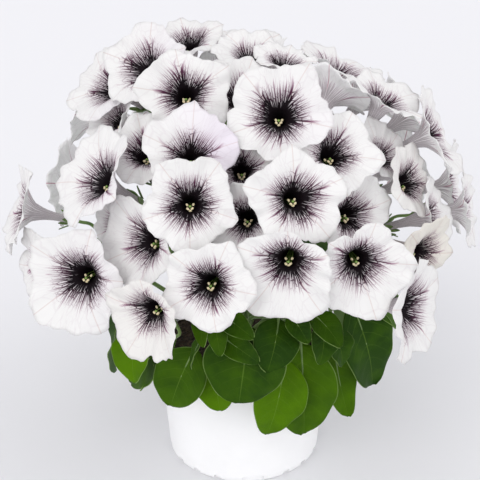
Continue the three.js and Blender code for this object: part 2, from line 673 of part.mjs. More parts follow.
// Sets the flowers one by one, each with its calyx and stalk, clear of those before it.
function setFlowers(flowers) {
  const ways = waysToGive();
  const [corollas, holders] = [[], []];
  const obstacles = stems.map(withBox);
  const rooms = [];
  flowers.forEach((flower, index) => {
    const models = new Map();
    const modelOf = (tuck) => {
      const key = `${tuck.amount} ${tuck.side}`;
      if (!models.has(key)) {
        const own = { ...flower, tuck, character: characterOf(index + 1) };
        const roomy = makeCorolla({ ...own, radius: own.radius + PETAL_GAP }, PETAL_THICK + 2 * PETAL_GAP);
        models.set(key, { model: makeCorolla(own), room: roomy.translate([0, 0, PETAL_GAP]) });
      }
      return models.get(key);
    };
    for (const way of ways) {
      const frame = frameOf(flower, way);
      const { model, room } = modelOf(way.tuck);
      const taken = room.transform(frame.elements);
      const holder = meetsAny(taken, obstacles) ? null : holderOf(frame, rooms);
      if (holder) {
        const corolla = model.transform(frame.elements);
        corollas.push(corolla);
        holders.push(holder);
        obstacles.push(withBox(corolla), withBox(holder));
        rooms.push(withBox(taken));
        return;
      }
    }
    throw new Error(`no room for flower ${index + 1}`);
  });
  return { corollas, holders, rooms };
}

const { corollas, holders, rooms } = setFlowers([...FRONT_FLOWERS, ...backFlowers()]);

// The green plant: crown, stems, flower stalks with calyxes, and leaves, grown as one piece.
function makePlant() {
  const crown = new THREE.CylinderGeometry(CROWN_RADIUS, CROWN_RADIUS, CROWN_TOP - CROWN_FOOT, CROWN_SIDES);
  crown.rotateX(Math.PI / 2).translate(0, 0, (CROWN_TOP + CROWN_FOOT) / 2);
  const pieces = [solidFrom(crown), ...stems, ...holders];
  const obstacles = [...rooms, withBox(pot), withBox(soil)];

  const leaves = FRONT_LEAVES.map((leaf) => ({ ...leaf, foot: around(leaf.foot), tip: around(leaf.tip) }));
  const draw = drawsFrom(LEAF_SEED);
  const spread = (most) => most * (2 * draw() - 1);
  for (const row of LEAF_ROWS) {
    for (let i = 0; i < row.count; i += 1) {
      const turn = mix(row.turns[0], row.turns[1], i / (row.count - 1)) + spread(LEAF_SPREAD.turn);
      const [footOut, footRise] = row.foot;
      const [tipOut, tipRise] = row.tip;
      leaves.push({
        foot: around([turn, footOut, footRise + spread(LEAF_SPREAD.footRise)]),
        tip: around([
          turn + spread(LEAF_SPREAD.tipTurn),
          tipOut + spread(LEAF_SPREAD.tipOut),
          tipRise + spread(LEAF_SPREAD.tipRise),
        ]),
        width: row.width + spread(LEAF_SPREAD.width),
        arch: row.arch,
        roll: spread(LEAF_SPREAD.roll),
      });
    }
  }
  for (const { turn, rise, width } of INNER_LEAVES) {
    const middle = new THREE.Vector3(0, 0, DOME_MIDDLE);
    leaves.push({
      foot: middle.clone().lerp(onDome(turn, rise + INNER_LEAF.footRise), INNER_LEAF.footOut),
      tip: middle.clone().lerp(onDome(turn, rise + INNER_LEAF.tipRise), INNER_LEAF.tipOut),
      width,
      arch: INNER_LEAF.arch,
      roll: 0,
    });
  }
  leaves.forEach((leaf, index) => {
    const along = leaf.tip.clone().sub(leaf.foot);
    const [root] = bestJoints(leaf.foot, along.clone().negate(), 1);
    const side = new THREE.Vector3().crossVectors(along, new THREE.Vector3(0, 0, 1)).normalize();
    const bent = BEND_TRIES
      .map((bend) => leaf.foot.clone().add(along.clone().applyAxisAngle(side, degrees(bend))))
      .map((tip) => makeLeaf({ ...leaf, tip, root, seed: index + 1 }))
      .find((solid) => !meetsAny(solid, obstacles));
    if (bent) {
      pieces.push(bent);
    }
  });
  return wasm.Manifold.union(pieces);
}

const pottedPetunia = new THREE.Group();
pottedPetunia.add(
  meshOf("pot", pot, POT_WHITE, PLASTIC_ROUGHNESS),
  meshOf("soil", soil, SOIL_BROWN, SOIL_ROUGHNESS),
  meshOf("plant", makePlant(), LEAF_GREEN, LEAF_ROUGHNESS),
);
corollas.forEach((solid, index) => {
  const number = String(index + 1).padStart(2, "0");
  pottedPetunia.add(meshOf(`bloom_${number}`, solid, FLOWER_WHITE, PETAL_ROUGHNESS));
});

export default pottedPetunia;
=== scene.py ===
# A white petunia with dark-veined throats, in full flower in a round white nursery pot.
# Metres, +Z up, the front towards -Y. The middle of the pot's underside is the origin.
# A turn is an angle round the pot in degrees, 0 at the front and growing to the right.
import math
import random
from functools import partial

import bpy
from mathutils import Matrix, Vector
from mathutils.bvhtree import BVHTree


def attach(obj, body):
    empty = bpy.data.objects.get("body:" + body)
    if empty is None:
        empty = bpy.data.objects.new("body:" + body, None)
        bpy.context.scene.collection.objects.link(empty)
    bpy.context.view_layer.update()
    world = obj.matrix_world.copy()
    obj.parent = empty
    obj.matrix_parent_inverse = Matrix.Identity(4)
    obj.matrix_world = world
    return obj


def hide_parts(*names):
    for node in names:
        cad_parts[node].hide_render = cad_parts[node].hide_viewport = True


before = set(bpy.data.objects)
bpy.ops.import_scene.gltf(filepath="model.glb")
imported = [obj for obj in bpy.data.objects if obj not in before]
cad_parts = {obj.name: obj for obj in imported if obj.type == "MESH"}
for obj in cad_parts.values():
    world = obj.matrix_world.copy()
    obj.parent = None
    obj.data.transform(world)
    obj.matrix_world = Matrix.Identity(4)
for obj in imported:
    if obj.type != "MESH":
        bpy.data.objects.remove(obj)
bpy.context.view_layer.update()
MM = 0.001

# ---- The room: a pale table top that runs on far behind, and soft light from large lamps.
# The camera stands a metre off and looks down on the plant through a long lens.
FLOOR_SIZE = 8
CAMERA_PLACE = (-0.003, -0.891, 0.634)
CAMERA_AIM = (-0.003, 0, 0.18)
LONG_LENS = 100
STUDIO_WHITE = (0.965, 0.965, 0.995, 1)


def new_finish(name, settings):
    """A material whose shader has these plain settings."""
    finish = bpy.data.materials.new(name)
    finish.use_nodes = True
    shader = finish.node_tree.nodes["Principled BSDF"]
    for socket, value in settings.items():
        shader.inputs[socket].default_value = value
    return finish


def softbox(name, place, spread, strength, colour):
    """A far, wide light that shines from a place to the plant: the wider, the softer."""
    light = bpy.data.lights.new(name, "SUN")
    light.angle = math.radians(spread)
    light.energy = strength
    light.color = colour
    holder = bpy.data.objects.new(name, light)
    holder.rotation_euler = Vector(place).to_track_quat("Z", "Y").to_euler()
    bpy.context.collection.objects.link(holder)


bpy.ops.object.select_all(action="DESELECT")
bpy.ops.mesh.primitive_plane_add(size=FLOOR_SIZE, location=(0, 0, 0))
floor = bpy.context.object
floor.name = "floor"
floor.data.materials.append(new_finish(
    "pale_floor", {"Base Color": (0.78, 0.78, 0.80, 1), "Roughness": 0.7, "Specular IOR Level": 0.2}))

softbox("front_left_light", (-0.8, -1.5, 1.2), 60, 1.1, (1, 0.99, 0.975))
softbox("right_fill_light", (1.5, -0.4, 0.8), 70, 0.6, (1, 0.99, 0.98))

world = bpy.data.worlds.new("studio")
world.use_nodes = True
background = world.node_tree.nodes["Background"]
background.inputs["Color"].default_value = STUDIO_WHITE
background.inputs["Strength"].default_value = 0.9
bpy.context.scene.world = world
bpy.context.scene.view_settings.view_transform = "Standard"

lens = bpy.data.cameras.new("camera")
lens.lens = LONG_LENS
lens.sensor_width = 36
lens.clip_end = 20
camera = bpy.data.objects.new("camera", lens)
camera.location = CAMERA_PLACE
camera.rotation_euler = (Vector(CAMERA_AIM) - camera.location).to_track_quat("-Z", "Y").to_euler()
bpy.context.collection.objects.link(camera)
bpy.context.scene.camera = camera

# ---- The pot: white plastic blown thin, with a stepped rim and a flat floor. The drain notches are
# moulded round its foot: a wide one and three narrow ones in each quarter.
POT_HEIGHT = 102 * MM
POT_FOOT = 59 * MM
POT_TOP = 67 * MM
POT_WALL = 1.4 * MM
POT_FLOOR = 2.2 * MM
RIM_DEPTH = 9 * MM
RIM_STEP = 3 * MM
# A quarter's notches, each with its turn, and its width and height in millimetres.
NOTCHES = ((7, 17, 5.5), (34, 6, 4.5), (52, 6, 4.5), (70, 6, 4.5))
NOTCH_CUT = 3 * MM
NOTCH_BLOCK = 8 * MM
NOTCH_ROUND = 1.1 * MM


def pot_wall_at(z):
    return POT_FOOT + (POT_TOP - POT_FOOT) * z / POT_HEIGHT


def clear_selection():
    bpy.ops.object.select_all(action="DESELECT")


def pick(*pieces):
    """Selects these pieces alone, with the first of them active."""
    clear_selection()
    for piece in pieces:
        piece.select_set(True)
    bpy.context.view_layer.objects.active = pieces[0]


def joined(pieces):
    """Makes one piece of several, and keeps the first one's name."""
    pick(*pieces)
    if len(pieces) > 1:
        bpy.ops.object.join()
    return bpy.context.object


def copied(piece, place):
    """A copy of a piece with its own mesh, moved to a place."""
    twin = bpy.data.objects.new(piece.name, piece.data.copy())
    twin.data.transform(place)
    bpy.context.collection.objects.link(twin)
    return twin


def mend(merge=0, outwards=False):
    """In edit mode, merges the active piece's doubles and turns its faces outwards."""
    bpy.ops.object.mode_set(mode="EDIT")
    bpy.ops.mesh.select_all(action="SELECT")
    if merge:
        bpy.ops.mesh.remove_doubles(threshold=merge)
    if outwards:
        bpy.ops.mesh.normals_make_consistent(inside=False)
    bpy.ops.object.mode_set(mode="OBJECT")


def spun(name, outline, steps):
    """Turns an outline of (radius, height) points, which starts and ends on the axis, into a solid."""
    clear_selection()
    bpy.ops.mesh.primitive_plane_add(size=0.01)
    piece = bpy.context.object
    piece.name = piece.data.name = name
    piece.data.clear_geometry()
    piece.data.from_pydata([(radius, 0, height) for radius, height in outline],
                           [(i, i + 1) for i in range(len(outline) - 1)], [])
    bpy.ops.object.mode_set(mode="EDIT")
    bpy.ops.mesh.select_all(action="SELECT")
    bpy.ops.mesh.spin(steps=steps, angle=2 * math.pi, center=(0, 0, 0), axis=(0, 0, 1))
    bpy.ops.object.mode_set(mode="OBJECT")
    mend(merge=1e-5, outwards=True)
    return piece


rim_foot = POT_HEIGHT - RIM_DEPTH
rim_side = pot_wall_at(rim_foot) + RIM_STEP
rim_top = POT_TOP + RIM_STEP
pot = spun("pot_shell", [
    (0, 0),
    (POT_FOOT - 4.0 * MM, 0),
    (POT_FOOT - 2.4 * MM, 0),
    (POT_FOOT - 1.2 * MM, 0.35 * MM),
    (POT_FOOT - 0.4 * MM, 1.1 * MM),
    (pot_wall_at(2.5 * MM), 2.5 * MM),
    (pot_wall_at(6 * MM), 6 * MM),
    (pot_wall_at(45 * MM), 45 * MM),
    (pot_wall_at(rim_foot - 1 * MM), rim_foot - 1 * MM),
    (pot_wall_at(rim_foot) + 0.3 * MM, rim_foot),
    (rim_side - 0.6 * MM, rim_foot + 0.9 * MM),
    (rim_side, rim_foot + 1.6 * MM),
    (rim_top, POT_HEIGHT - 1.2 * MM),
    (rim_top - 0.4 * MM, POT_HEIGHT - 0.3 * MM),
    (rim_top - 1.2 * MM, POT_HEIGHT),
    (POT_TOP - 0.3 * MM, POT_HEIGHT),
    (POT_TOP - POT_WALL, POT_HEIGHT - 0.9 * MM),
    (pot_wall_at(50 * MM) - POT_WALL, 50 * MM),
    (pot_wall_at(9 * MM) - POT_WALL, 9 * MM),
    (POT_FOOT - 4.6 * MM, 7 * MM),
    (POT_FOOT - 8 * MM, POT_FLOOR),
    (0, POT_FLOOR),
], 128)

# Its notches, cut by small blocks with rounded edges into the thick corner inside the foot.
blocks = []
for turn, width, height in NOTCHES:
    clear_selection()
    bpy.ops.mesh.primitive_cube_add(size=1, scale=(width * MM, NOTCH_BLOCK, 2 * height * MM),
                                    location=(0, NOTCH_CUT - NOTCH_BLOCK / 2 - POT_FOOT, 0))
    block = bpy.context.object
    bpy.ops.object.transform_apply(location=True, scale=True)
    bevel = block.modifiers.new("round", "BEVEL")
    bevel.width = NOTCH_ROUND
    bevel.segments = 3
    bpy.ops.object.modifier_apply(modifier="round")
    block.data.transform(Matrix.Rotation(math.radians(turn), 4, "Z"))
    blocks += [block, *(copied(block, Matrix.Rotation(math.radians(90 * i), 4, "Z")) for i in (1, 2, 3))]
blocks = joined(blocks)
pick(pot)
cut = pot.modifiers.new("notches", "BOOLEAN")
cut.operation = "DIFFERENCE"
cut.solver = "EXACT"
cut.object = blocks
bpy.ops.object.modifier_apply(modifier="notches")
bpy.data.objects.remove(blocks)
bpy.ops.object.shade_smooth_by_angle(angle=math.radians(40))


def shader_node(tree, kind, *values, **settings):
    """A shader node, with its first inputs led from sockets or set to plain values."""
    new = tree.nodes.new("ShaderNode" + kind)
    for setting, value in settings.items():
        setattr(new, setting, value)
    for socket, value in zip(new.inputs, values):
        if isinstance(value, (int, float, tuple)):
            socket.default_value = value
        else:
            tree.links.new(value, socket)
    return new


def texture(tree, kind, scale, detail=None, where=None):
    """A noise or cell pattern, in the piece's own space unless it is given another."""
    pattern = shader_node(tree, "Tex" + kind, where or shader_node(tree, "TexCoord").outputs["Object"])
    pattern.inputs["Scale"].default_value = scale
    if detail is not None:
        pattern.inputs["Detail"].default_value = detail
    return pattern


def ramped(tree, value, *marks, ease=False):
    """A colour that runs through marks of (value, colour)."""
    ramp = shader_node(tree, "ValToRGB", value)
    ramp.color_ramp.interpolation = "EASE" if ease else "LINEAR"
    elements = ramp.color_ramp.elements
    while len(elements) < len(marks):
        elements.new(0.5)
    for element, (place, colour) in zip(elements, marks):
        element.position = place
        element.color = (*colour, 1)
    return ramp.outputs["Color"]


def dress(tree, colour, height=None, strength=0, distance=0):
    """Leads a colour to a material's shader, and a height as a bump."""
    shader = tree.nodes["Principled BSDF"]
    tree.links.new(colour, shader.inputs["Base Color"])
    if height is not None:
        bump = shader_node(tree, "Bump")
        bump.inputs["Strength"].default_value = strength
        bump.inputs["Distance"].default_value = distance
        tree.links.new(height, bump.inputs["Height"])
        tree.links.new(bump.outputs["Normal"], shader.inputs["Normal"])


pot_plastic = new_finish("white_pot_plastic", {
    "Roughness": 0.38, "Specular IOR Level": 0.45,
    "Subsurface Weight": 0.25, "Subsurface Radius": (4 * MM, 4 * MM, 4 * MM)})
tree = pot_plastic.node_tree
mottle = texture(tree, "Noise", 35, detail=4).outputs["Fac"]
tint = ramped(tree, mottle, (0.35, (0.92, 0.92, 0.925)), (0.65, (0.95, 0.95, 0.955)))
dress(tree, tint, texture(tree, "Noise", 900).outputs["Fac"], 0.06, 0.4 * MM)
pot.data.materials.append(pot_plastic)
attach(pot, "root")
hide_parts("pot")

# ---- The potting mix: dark peat that fills the pot and rises a little to the crown, crumbly on top,
# with a plain hole where the crown stands.
SOIL_BOTTOM = 2.5 * MM
SOIL_TOP = 89 * MM
SOIL_CROWN = 94 * MM
SOIL_SIDE = 2 * MM
CRUMB = 0.9 * MM
CROWN_FOOT = 62 * MM
HOLE = 7.5 * MM
HOLE_FLOOR = CROWN_FOOT - 0.3 * MM
soil = spun("potting_mix", [
    (0, SOIL_BOTTOM),
    (POT_FOOT - 8.6 * MM, SOIL_BOTTOM),
    (POT_FOOT - 5.2 * MM, 7.6 * MM),
    (pot_wall_at(10 * MM) - SOIL_SIDE, 10 * MM),
    (pot_wall_at(45 * MM) - SOIL_SIDE, 45 * MM),
    (pot_wall_at(SOIL_TOP) - SOIL_SIDE, SOIL_TOP - 1 * MM),
    *[(radius * MM, SOIL_CROWN - (SOIL_CROWN - SOIL_TOP) * (radius / 64) ** 2) for radius in range(60, 8, -3)],
    (HOLE, SOIL_CROWN),
    (HOLE, HOLE_FLOOR),
    (0, HOLE_FLOOR),
], 144)
crumbs = random.Random(11)
for vertex in soil.data.vertices:
    if vertex.co.z > SOIL_TOP - 0.5 * MM:
        vertex.co.z += crumbs.uniform(-CRUMB, CRUMB)
bpy.ops.object.shade_smooth_by_angle(angle=math.radians(60))

peat = new_finish("potting_peat", {"Roughness": 0.95})
tree = peat.node_tree
lumps = texture(tree, "Voronoi", 420)
shade = ramped(tree, lumps.outputs["Color"], (0, (0.012, 0.008, 0.005)), (1, (0.075, 0.048, 0.03)))
dress(tree, shade, lumps.outputs["Distance"], 0.9, 2 * MM)
soil.data.materials.append(peat)
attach(soil, "root")
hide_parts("soil")

# ---- The plant's stems: three upright ones in the middle and nine that arch out all round, soft, green
# and finely hairy. They grow from a short crown that stands in the potting mix.
STEM_RADIUS = 2.2 * MM
STEM_TAPER = 0.35
# Each stem's turn, and its run as distances from the pot's axis and heights in millimetres.
OUTER_STEM_TURNS = (-84, -46, -13, 28, 60, 105, 150, 192, 234)
OUTER_STEM = ((3, 97), (16, 107), (40, 124), (70, 148), (96, 166))
INNER_STEM_TURNS = (8, 128, 248)
INNER_STEM = ((2, 94), (8, 120), (18, 165), (30, 208), (36, 244))
STEM_STEPS = 5
JOINTS_PER_STEP = 4
FINE_STEPS = 24
# A joint serves a stalk that sets off at less than about 80 degrees from it.
LEAST_AHEAD = 0.2


def towards(turn, rise=0):
    turn, rise = math.radians(turn), math.radians(rise)
    return Vector((math.sin(turn) * math.cos(rise), -math.cos(turn) * math.cos(rise), math.sin(rise)))


def around(turn, distance, height):
    """The point at a turn, a distance from the pot's axis and a height, both in millimetres."""
    return towards(turn) * distance * MM + Vector((0, 0, height * MM))


def smooth_line(points, per_span=40):
    """A smooth curve through points: centripetal, with ends that carry straight on."""
    ends = [points[0] * 2 - points[1], *points, points[-1] * 2 - points[-2]]
    line = []
    for p0, p1, p2, p3 in zip(ends, ends[1:], ends[2:], ends[3:]):
        d0, d1, d2 = ((b - a).length ** 0.5 for a, b in ((p0, p1), (p1, p2), (p2, p3)))
        leave = ((p1 - p0) / d0 - (p2 - p0) / (d0 + d1) + (p2 - p1) / d1) * d1
        arrive = ((p2 - p1) / d1 - (p3 - p1) / (d1 + d2) + (p3 - p2) / d2) * d1
        for i in range(per_span):
            t = i / per_span
            line.append(p1 * (2 * t ** 3 - 3 * t ** 2 + 1) + leave * (t ** 3 - 2 * t ** 2 + t)
                        + p2 * (3 * t ** 2 - 2 * t ** 3) + arrive * (t ** 3 - t ** 2))
    return line + [points[-1]]


def evenly(line, count):
    """Points at equal steps along a line."""
    reached = [0]
    for a, b in zip(line, line[1:]):
        reached.append(reached[-1] + (b - a).length)
    spots, i = [], 0
    for step in range(count + 1):
        wanted = reached[-1] * step / count
        while i < len(line) - 2 and reached[i + 1] < wanted:
            i += 1
        share = (wanted - reached[i]) / (reached[i + 1] - reached[i])
        spots.append(line[i].lerp(line[i + 1], min(1, share)))
    return spots


stem_lines = [smooth_line([around(turn, *spot) for spot in OUTER_STEM]) for turn in OUTER_STEM_TURNS]
stem_lines += [smooth_line([around(turn, *spot) for spot in INNER_STEM]) for turn in INNER_STEM_TURNS]
joints = []
for stem, line in enumerate(stem_lines):
    spots = evenly(line, STEM_STEPS)
    for a, b in zip(spots[1:-1], spots[2:]):
        joints += [(a.lerp(b, i / JOINTS_PER_STEP), stem) for i in range(JOINTS_PER_STEP)]


def best_joints(point, way, count):
    """The joints that a stalk reaches best from a point when it sets off one way."""
    reached = []
    for joint, stem in joints:
        run = joint - point
        ahead = math.cos(run.angle(way))
        if ahead > LEAST_AHEAD:
            reached.append((run.length * (2 - ahead), tuple(joint), stem))
    return [(Vector(joint), stem) for cost, joint, stem in sorted(reached)[:count]]


# What each leafy stem bears: round shoots, each a line of points with a radius at each.
shoots = {stem: [] for stem in range(len(stem_lines))}
for stem, line in enumerate(stem_lines):
    spots = evenly(line, FINE_STEPS)
    shoots[stem].append([(spot, STEM_RADIUS * (1 - STEM_TAPER * i / FINE_STEPS))
                         for i, spot in enumerate(spots)])

# The corners of the green solid, by which leaves and stalks are set where it has them.
green_points = [vertex.co.copy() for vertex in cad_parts["plant"].data.vertices]
green_corners = {tuple(round(c * 1e5) for c in point) for point in green_points}


def is_green_corner(point):
    x, y, z = (round(c * 1e5) for c in point)
    return any((x + i, y + j, z + k) in green_corners for i in (-2, -1, 0, 1, 2)
               for j in (-2, -1, 0, 1, 2) for k in (-2, -1, 0, 1, 2))


stem_green = new_finish("stem_green", {
    "Roughness": 0.55, "Sheen Weight": 0.35, "Sheen Tint": (0.85, 0.95, 0.75, 1)})
tree = stem_green.node_tree
blotch = texture(tree, "Noise", 120, detail=5).outputs["Fac"]
shade = ramped(tree, blotch, (0.3, (0.075, 0.15, 0.03)), (0.7, (0.19, 0.30, 0.075)))
dress(tree, shade, texture(tree, "Noise", 1500).outputs["Fac"], 0.35, 0.5 * MM)

# ---- The leaves: soft ovals on short stalks, folded a little along the midrib and waved, dark and matt
# above, paler below, with fine pale hairs along the margin. They grow from the stems' joints.
LEAF_THICK = 0.55 * MM
LEAF_FOLD = 0.22
LEAF_WAVE = 0.04
MARGIN_WAVE = 0.022
LEAF_QUILT = 0.35 * MM
SIDE_VEINS = 7
QUILT_WAVES = 6
SKYWARD = 0.7
BENDS = (0, 8, -8, 16, -16, 24, -24, 34)
LEAF_STALK = (1.35 * MM, 1.25 * MM, 1.2 * MM)
LEAF_KNEE = 6 * MM
# The ridge of the midrib under the blade: a share of its length, and a radius there in millimetres.
RIDGE = ((0.1, 1.0), (0.25, 0.85), (0.45, 0.65), (0.65, 0.45), (0.85, 0.2))
RIDGE_SINK = 0.5 * MM
DOME = (158, 148, 140)
DOME_HEIGHT = 190
# The front's leaves follow the photograph: foot and tip as turn, distance from the pot's axis and height
# in millimetres, then width, arch, roll in degrees, and tone from 0, dark, to 1, yellow-green.
FRONT_LEAVES = (
    ((2, 90, 158), (-2, 108, 106), 58, 8, 0, 0.15),
    ((19, 88, 128), (10, 96, 70), 40, 6, -5, 0.85),
    ((28, 86, 136), (29, 91, 60), 48, 5, 20, 0.5),
    ((-24, 86, 134), (-32, 100, 88), 40, 6, -10, 0.35),
    ((-14, 84, 124), (-11, 91, 87), 30, 3, 5, 1),
    ((57, 92, 156), (70, 104, 74), 44, 7, 32, 0),
    ((52, 84, 122), (60, 92, 52), 28, -4, 35, 0.6),
    ((-54, 92, 140), (-45, 112, 104), 34, 6, -10, 0.9),
    ((-44, 88, 122), (-50, 100, 88), 16, -3, 50, 0.4),
    ((-9, 100, 174), (3, 121, 167), 17, 3, 0, 0.2),
    ((-10, 99, 156), (5, 117, 145), 18, 3, 0, 0.2),
    ((-13, 101, 176), (-8, 119, 151), 15, 3, -20, 0.3),
    ((-17, 102, 174), (-13, 124, 160), 12, 3, 0, 0.45),
    ((-17, 96, 152), (-21, 105, 128), 13, 2, 55, 0.1),
    ((15, 92, 164), (8, 113, 134), 33, 6, 0, 0.05),
    ((19, 97, 170), (22, 118, 156), 16, 3, 15, 0.15),
    ((28, 98, 168), (33, 123, 149), 20, 4, 0, 0.2),
    ((35, 96, 156), (29, 109, 130), 22, 4, 0, 0.15),
    ((45, 88, 140), (46, 99, 112), 24, 4, 0, 0.1),
    ((61, 96, 164), (75, 119, 122), 20, 5, 10, 0.3),
    ((-36, 84, 136), (-60, 98, 84), 36, 6, 0, 0.3),
)
# The back's stand in rows, and a few more within, each of these a turn, a rise and a width.
LEAF_ROWS = (
    {"foot": (86, 128), "tip": (98, 70), "turns": (92, 268), "count": 7, "width": 42, "arch": 6},
    {"foot": (92, 158), "tip": (116, 112), "turns": (82, 278), "count": 7, "width": 36, "arch": 7},
    {"foot": (98, 172), "tip": (126, 146), "turns": (100, 262), "count": 4, "width": 24, "arch": 5},
)
INNER_FOOT, INNER_TIP = 0.42, 0.74
INNER_LEAVES = ((-22, 24, 30), (4, 44, 26), (0, 8, 30), (24, 22, 30), (74, 20, 30), (200, 38, 32))


def draws_from(seed):
    """A run of seeded draws between 0 and 1."""
    state = seed * 7919 + 12345
    while True:
        state = state * 16807 % 2147483647
        yield state / 2147483647


def on_dome(turn, rise):
    way = towards(turn, rise)
    reach = 1 / Vector([part / radius for part, radius in zip(way, DOME)]).length
    return (way * reach + Vector((0, 0, DOME_HEIGHT))) * MM


leaves = [{"foot": around(*foot), "tip": around(*tip), "width": width, "arch": arch, "roll": roll, "tone": tone}
          for foot, tip, width, arch, roll, tone in FRONT_LEAVES]
draw = draws_from(271)
tones = random.Random(5)


def spread(most):
    return most * (2 * next(draw) - 1)


for row in LEAF_ROWS:
    for i in range(row["count"]):
        share = i / (row["count"] - 1)
        turn = row["turns"][0] * (1 - share) + row["turns"][1] * share + spread(6)
        foot = around(turn, row["foot"][0], row["foot"][1] + spread(6))
        tip = around(turn + spread(9), row["tip"][0] + spread(5), row["tip"][1] + spread(9))
        leaves.append({"foot": foot, "tip": tip, "width": row["width"] + spread(5), "arch": row["arch"],
                       "roll": spread(18), "tone": tones.uniform(0.1, 0.85)})
for turn, rise, width in INNER_LEAVES:
    middle = Vector((0, 0, DOME_HEIGHT * MM))
    leaves.append({"foot": middle.lerp(on_dome(turn, rise - 12), INNER_FOOT),
                   "tip": middle.lerp(on_dome(turn, rise + 4), INNER_TIP),
                   "width": width, "arch": 4, "roll": 0, "tone": 0.1})


def leaf_point(leaf, t, across):
    """A point of the blade's upper face: t from foot to tip, and across from -1 to 1."""
    width, out = leaf["width"] * MM, abs(across)
    # The half width, which is widest before the middle and ends in a round tip.
    half = 0.5 * width * max(0, math.sin(math.pi * t ** 0.8)) ** (0.8 - 0.28 * t)
    arch = 4 * leaf["arch"] * MM * t * (1 - t)
    lift = LEAF_FOLD * half * (1.25 * out ** 1.5 - 0.25 * out ** 4)
    wave = LEAF_WAVE * width * math.sin(leaf["start"] + 7 * t) * across * out
    edge = MARGIN_WAVE * width * math.sin(3 * leaf["start"] + 19 * t + across) * across ** 4
    quilt = LEAF_QUILT * math.sin(2 * math.pi * QUILT_WAVES * (t - 0.22 * out)) * out * (1 - out ** 4)
    return (leaf["foot"] + leaf["along"] * t + leaf["side"] * half * across
            + leaf["face"] * (arch + lift + wave + edge + quilt))


blades = {stem: [] for stem in shoots}
for index, leaf in enumerate(leaves):
    leaf["start"] = 2 * math.pi * next(draws_from(index + 1))
    along = leaf["tip"] - leaf["foot"]
    root, stem = best_joints(leaf["foot"], -along, 1)[0]
    # The leaf hangs as the green solid's does, which bends it until it is clear of the flowers.
    hinge = along.cross(Vector((0, 0, 1))).normalized()
    tips = [leaf["foot"] + Matrix.Rotation(math.radians(bend), 3, hinge) @ along for bend in BENDS]
    set_tips = [tip for tip in tips if is_green_corner(tip)]
    if not set_tips:
        continue
    leaf["along"] = along = set_tips[0] - leaf["foot"]
    outward = Vector((leaf["foot"].x, leaf["foot"].y, 0)).normalized() + Vector((0, 0, SKYWARD))
    plain = (outward - along * (outward.dot(along) / along.length_squared)).normalized()
    leaf["face"] = Matrix.Rotation(math.radians(leaf["roll"]), 3, along.normalized()) @ plain
    leaf["side"] = along.cross(leaf["face"]).normalized()
    # The leaf's stalk runs on as the midrib's ridge under the blade.
    run = leaf["foot"] - root
    knee = leaf["foot"] - along.normalized() * min(LEAF_KNEE, 0.4 * run.length)
    stalk = smooth_line([root, root.lerp(knee, 0.55), knee, leaf["foot"]], 4)
    thick, thinner, thin = LEAF_STALK
    radii = [thick] * (len(stalk) - 2) + [thinner, thin]
    ridge = [(leaf_point(leaf, t, 0) - leaf["face"] * RIDGE_SINK, radius * MM) for t, radius in RIDGE]
    shoots[stem].append(list(zip(stalk, radii)) + ridge)
    blades[stem].append(leaf)


def number(tree, operation, *values, clamp=False):
    """A Math node on sockets or plain numbers."""
    return shader_node(tree, "Math", *values, operation=operation, use_clamp=clamp).outputs[0]


def mixed(tree, share, below, above):
    """A colour between two, each a socket or plain, by a share."""
    blend = shader_node(tree, "Mix", data_type="RGBA")
    for socket, value in ((blend.inputs["Factor"], share), (blend.inputs[6], below), (blend.inputs[7], above)):
        if isinstance(value, tuple):
            socket.default_value = (*value, 1)
        else:
            tree.links.new(value, socket)
    return blend.outputs[2]


def past(tree, value, start, steepness):
    """How far a value is past its start, from 0 to 1: the steeper, the sharper the edge."""
    return number(tree, "MULTIPLY", number(tree, "SUBTRACT", value, start), steepness, clamp=True)


def close_by(tree, value, width):
    """1 where a value is 0, falling to 0 where it is a width away."""
    return number(tree, "SUBTRACT", 1, number(tree, "DIVIDE", value, width), clamp=True)


def carried(tree, name):
    """The three numbers that a piece's mesh carries under a name."""
    spot = shader_node(tree, "Attribute", attribute_name=name).outputs["Vector"]
    return shader_node(tree, "SeparateXYZ", spot).outputs


def cell_edges(tree, scale, where=None):
    """How far it is to the edge of a small cell."""
    cells = texture(tree, "Voronoi", scale, where=where)
    cells.feature = "DISTANCE_TO_EDGE"
    return cells.outputs["Distance"]


def new_pattern(name, *outputs):
    """An empty node group that puts out these values."""
    group = bpy.data.node_groups.new(name, "ShaderNodeTree")
    for output in outputs:
        group.interface.new_socket(output, in_out="OUTPUT", socket_type="NodeSocketFloat")
    return group


def put_out(tree, *values):
    for socket, value in zip(tree.nodes.new("NodeGroupOutput").inputs, values):
        tree.links.new(value, socket)


def leaf_veins():
    """The leaf's own pattern: its midrib, the side veins that sweep to the tip, and the pale margin."""
    tree = new_pattern("leaf veins", "Midrib", "Side Veins", "Margin", "Cells")
    calc = partial(number, tree)
    along, across, tone = carried(tree, "leaf")
    across = calc("ABSOLUTE", across)
    sweep = calc("MULTIPLY", calc("POWER", across, 1.4), -0.24)
    sweep = calc("ADD", along, sweep)
    sweep = calc("MULTIPLY_ADD", texture(tree, "Noise", 160).outputs["Fac"], 0.05, sweep)
    phase = calc("FRACT", calc("MULTIPLY", sweep, SIDE_VEINS))
    off = calc("ABSOLUTE", calc("SUBTRACT", phase, 0.5))
    side = close_by(tree, off, 0.06)
    # The side veins fade towards the margin and the tip, and the midrib thins towards the tip.
    fade = calc("SUBTRACT", 1, calc("POWER", across, 3), clamp=True)
    fade = calc("MULTIPLY", fade, calc("MULTIPLY_ADD", along, -1.2, 1.2), clamp=True)
    side = calc("MULTIPLY", side, fade)
    width = calc("MULTIPLY_ADD", along, -0.025, 0.038)
    put_out(tree, close_by(tree, across, width), side, past(tree, across, 0.97, 33), cell_edges(tree, 700))
    return tree


leaf_vein_group = leaf_veins()


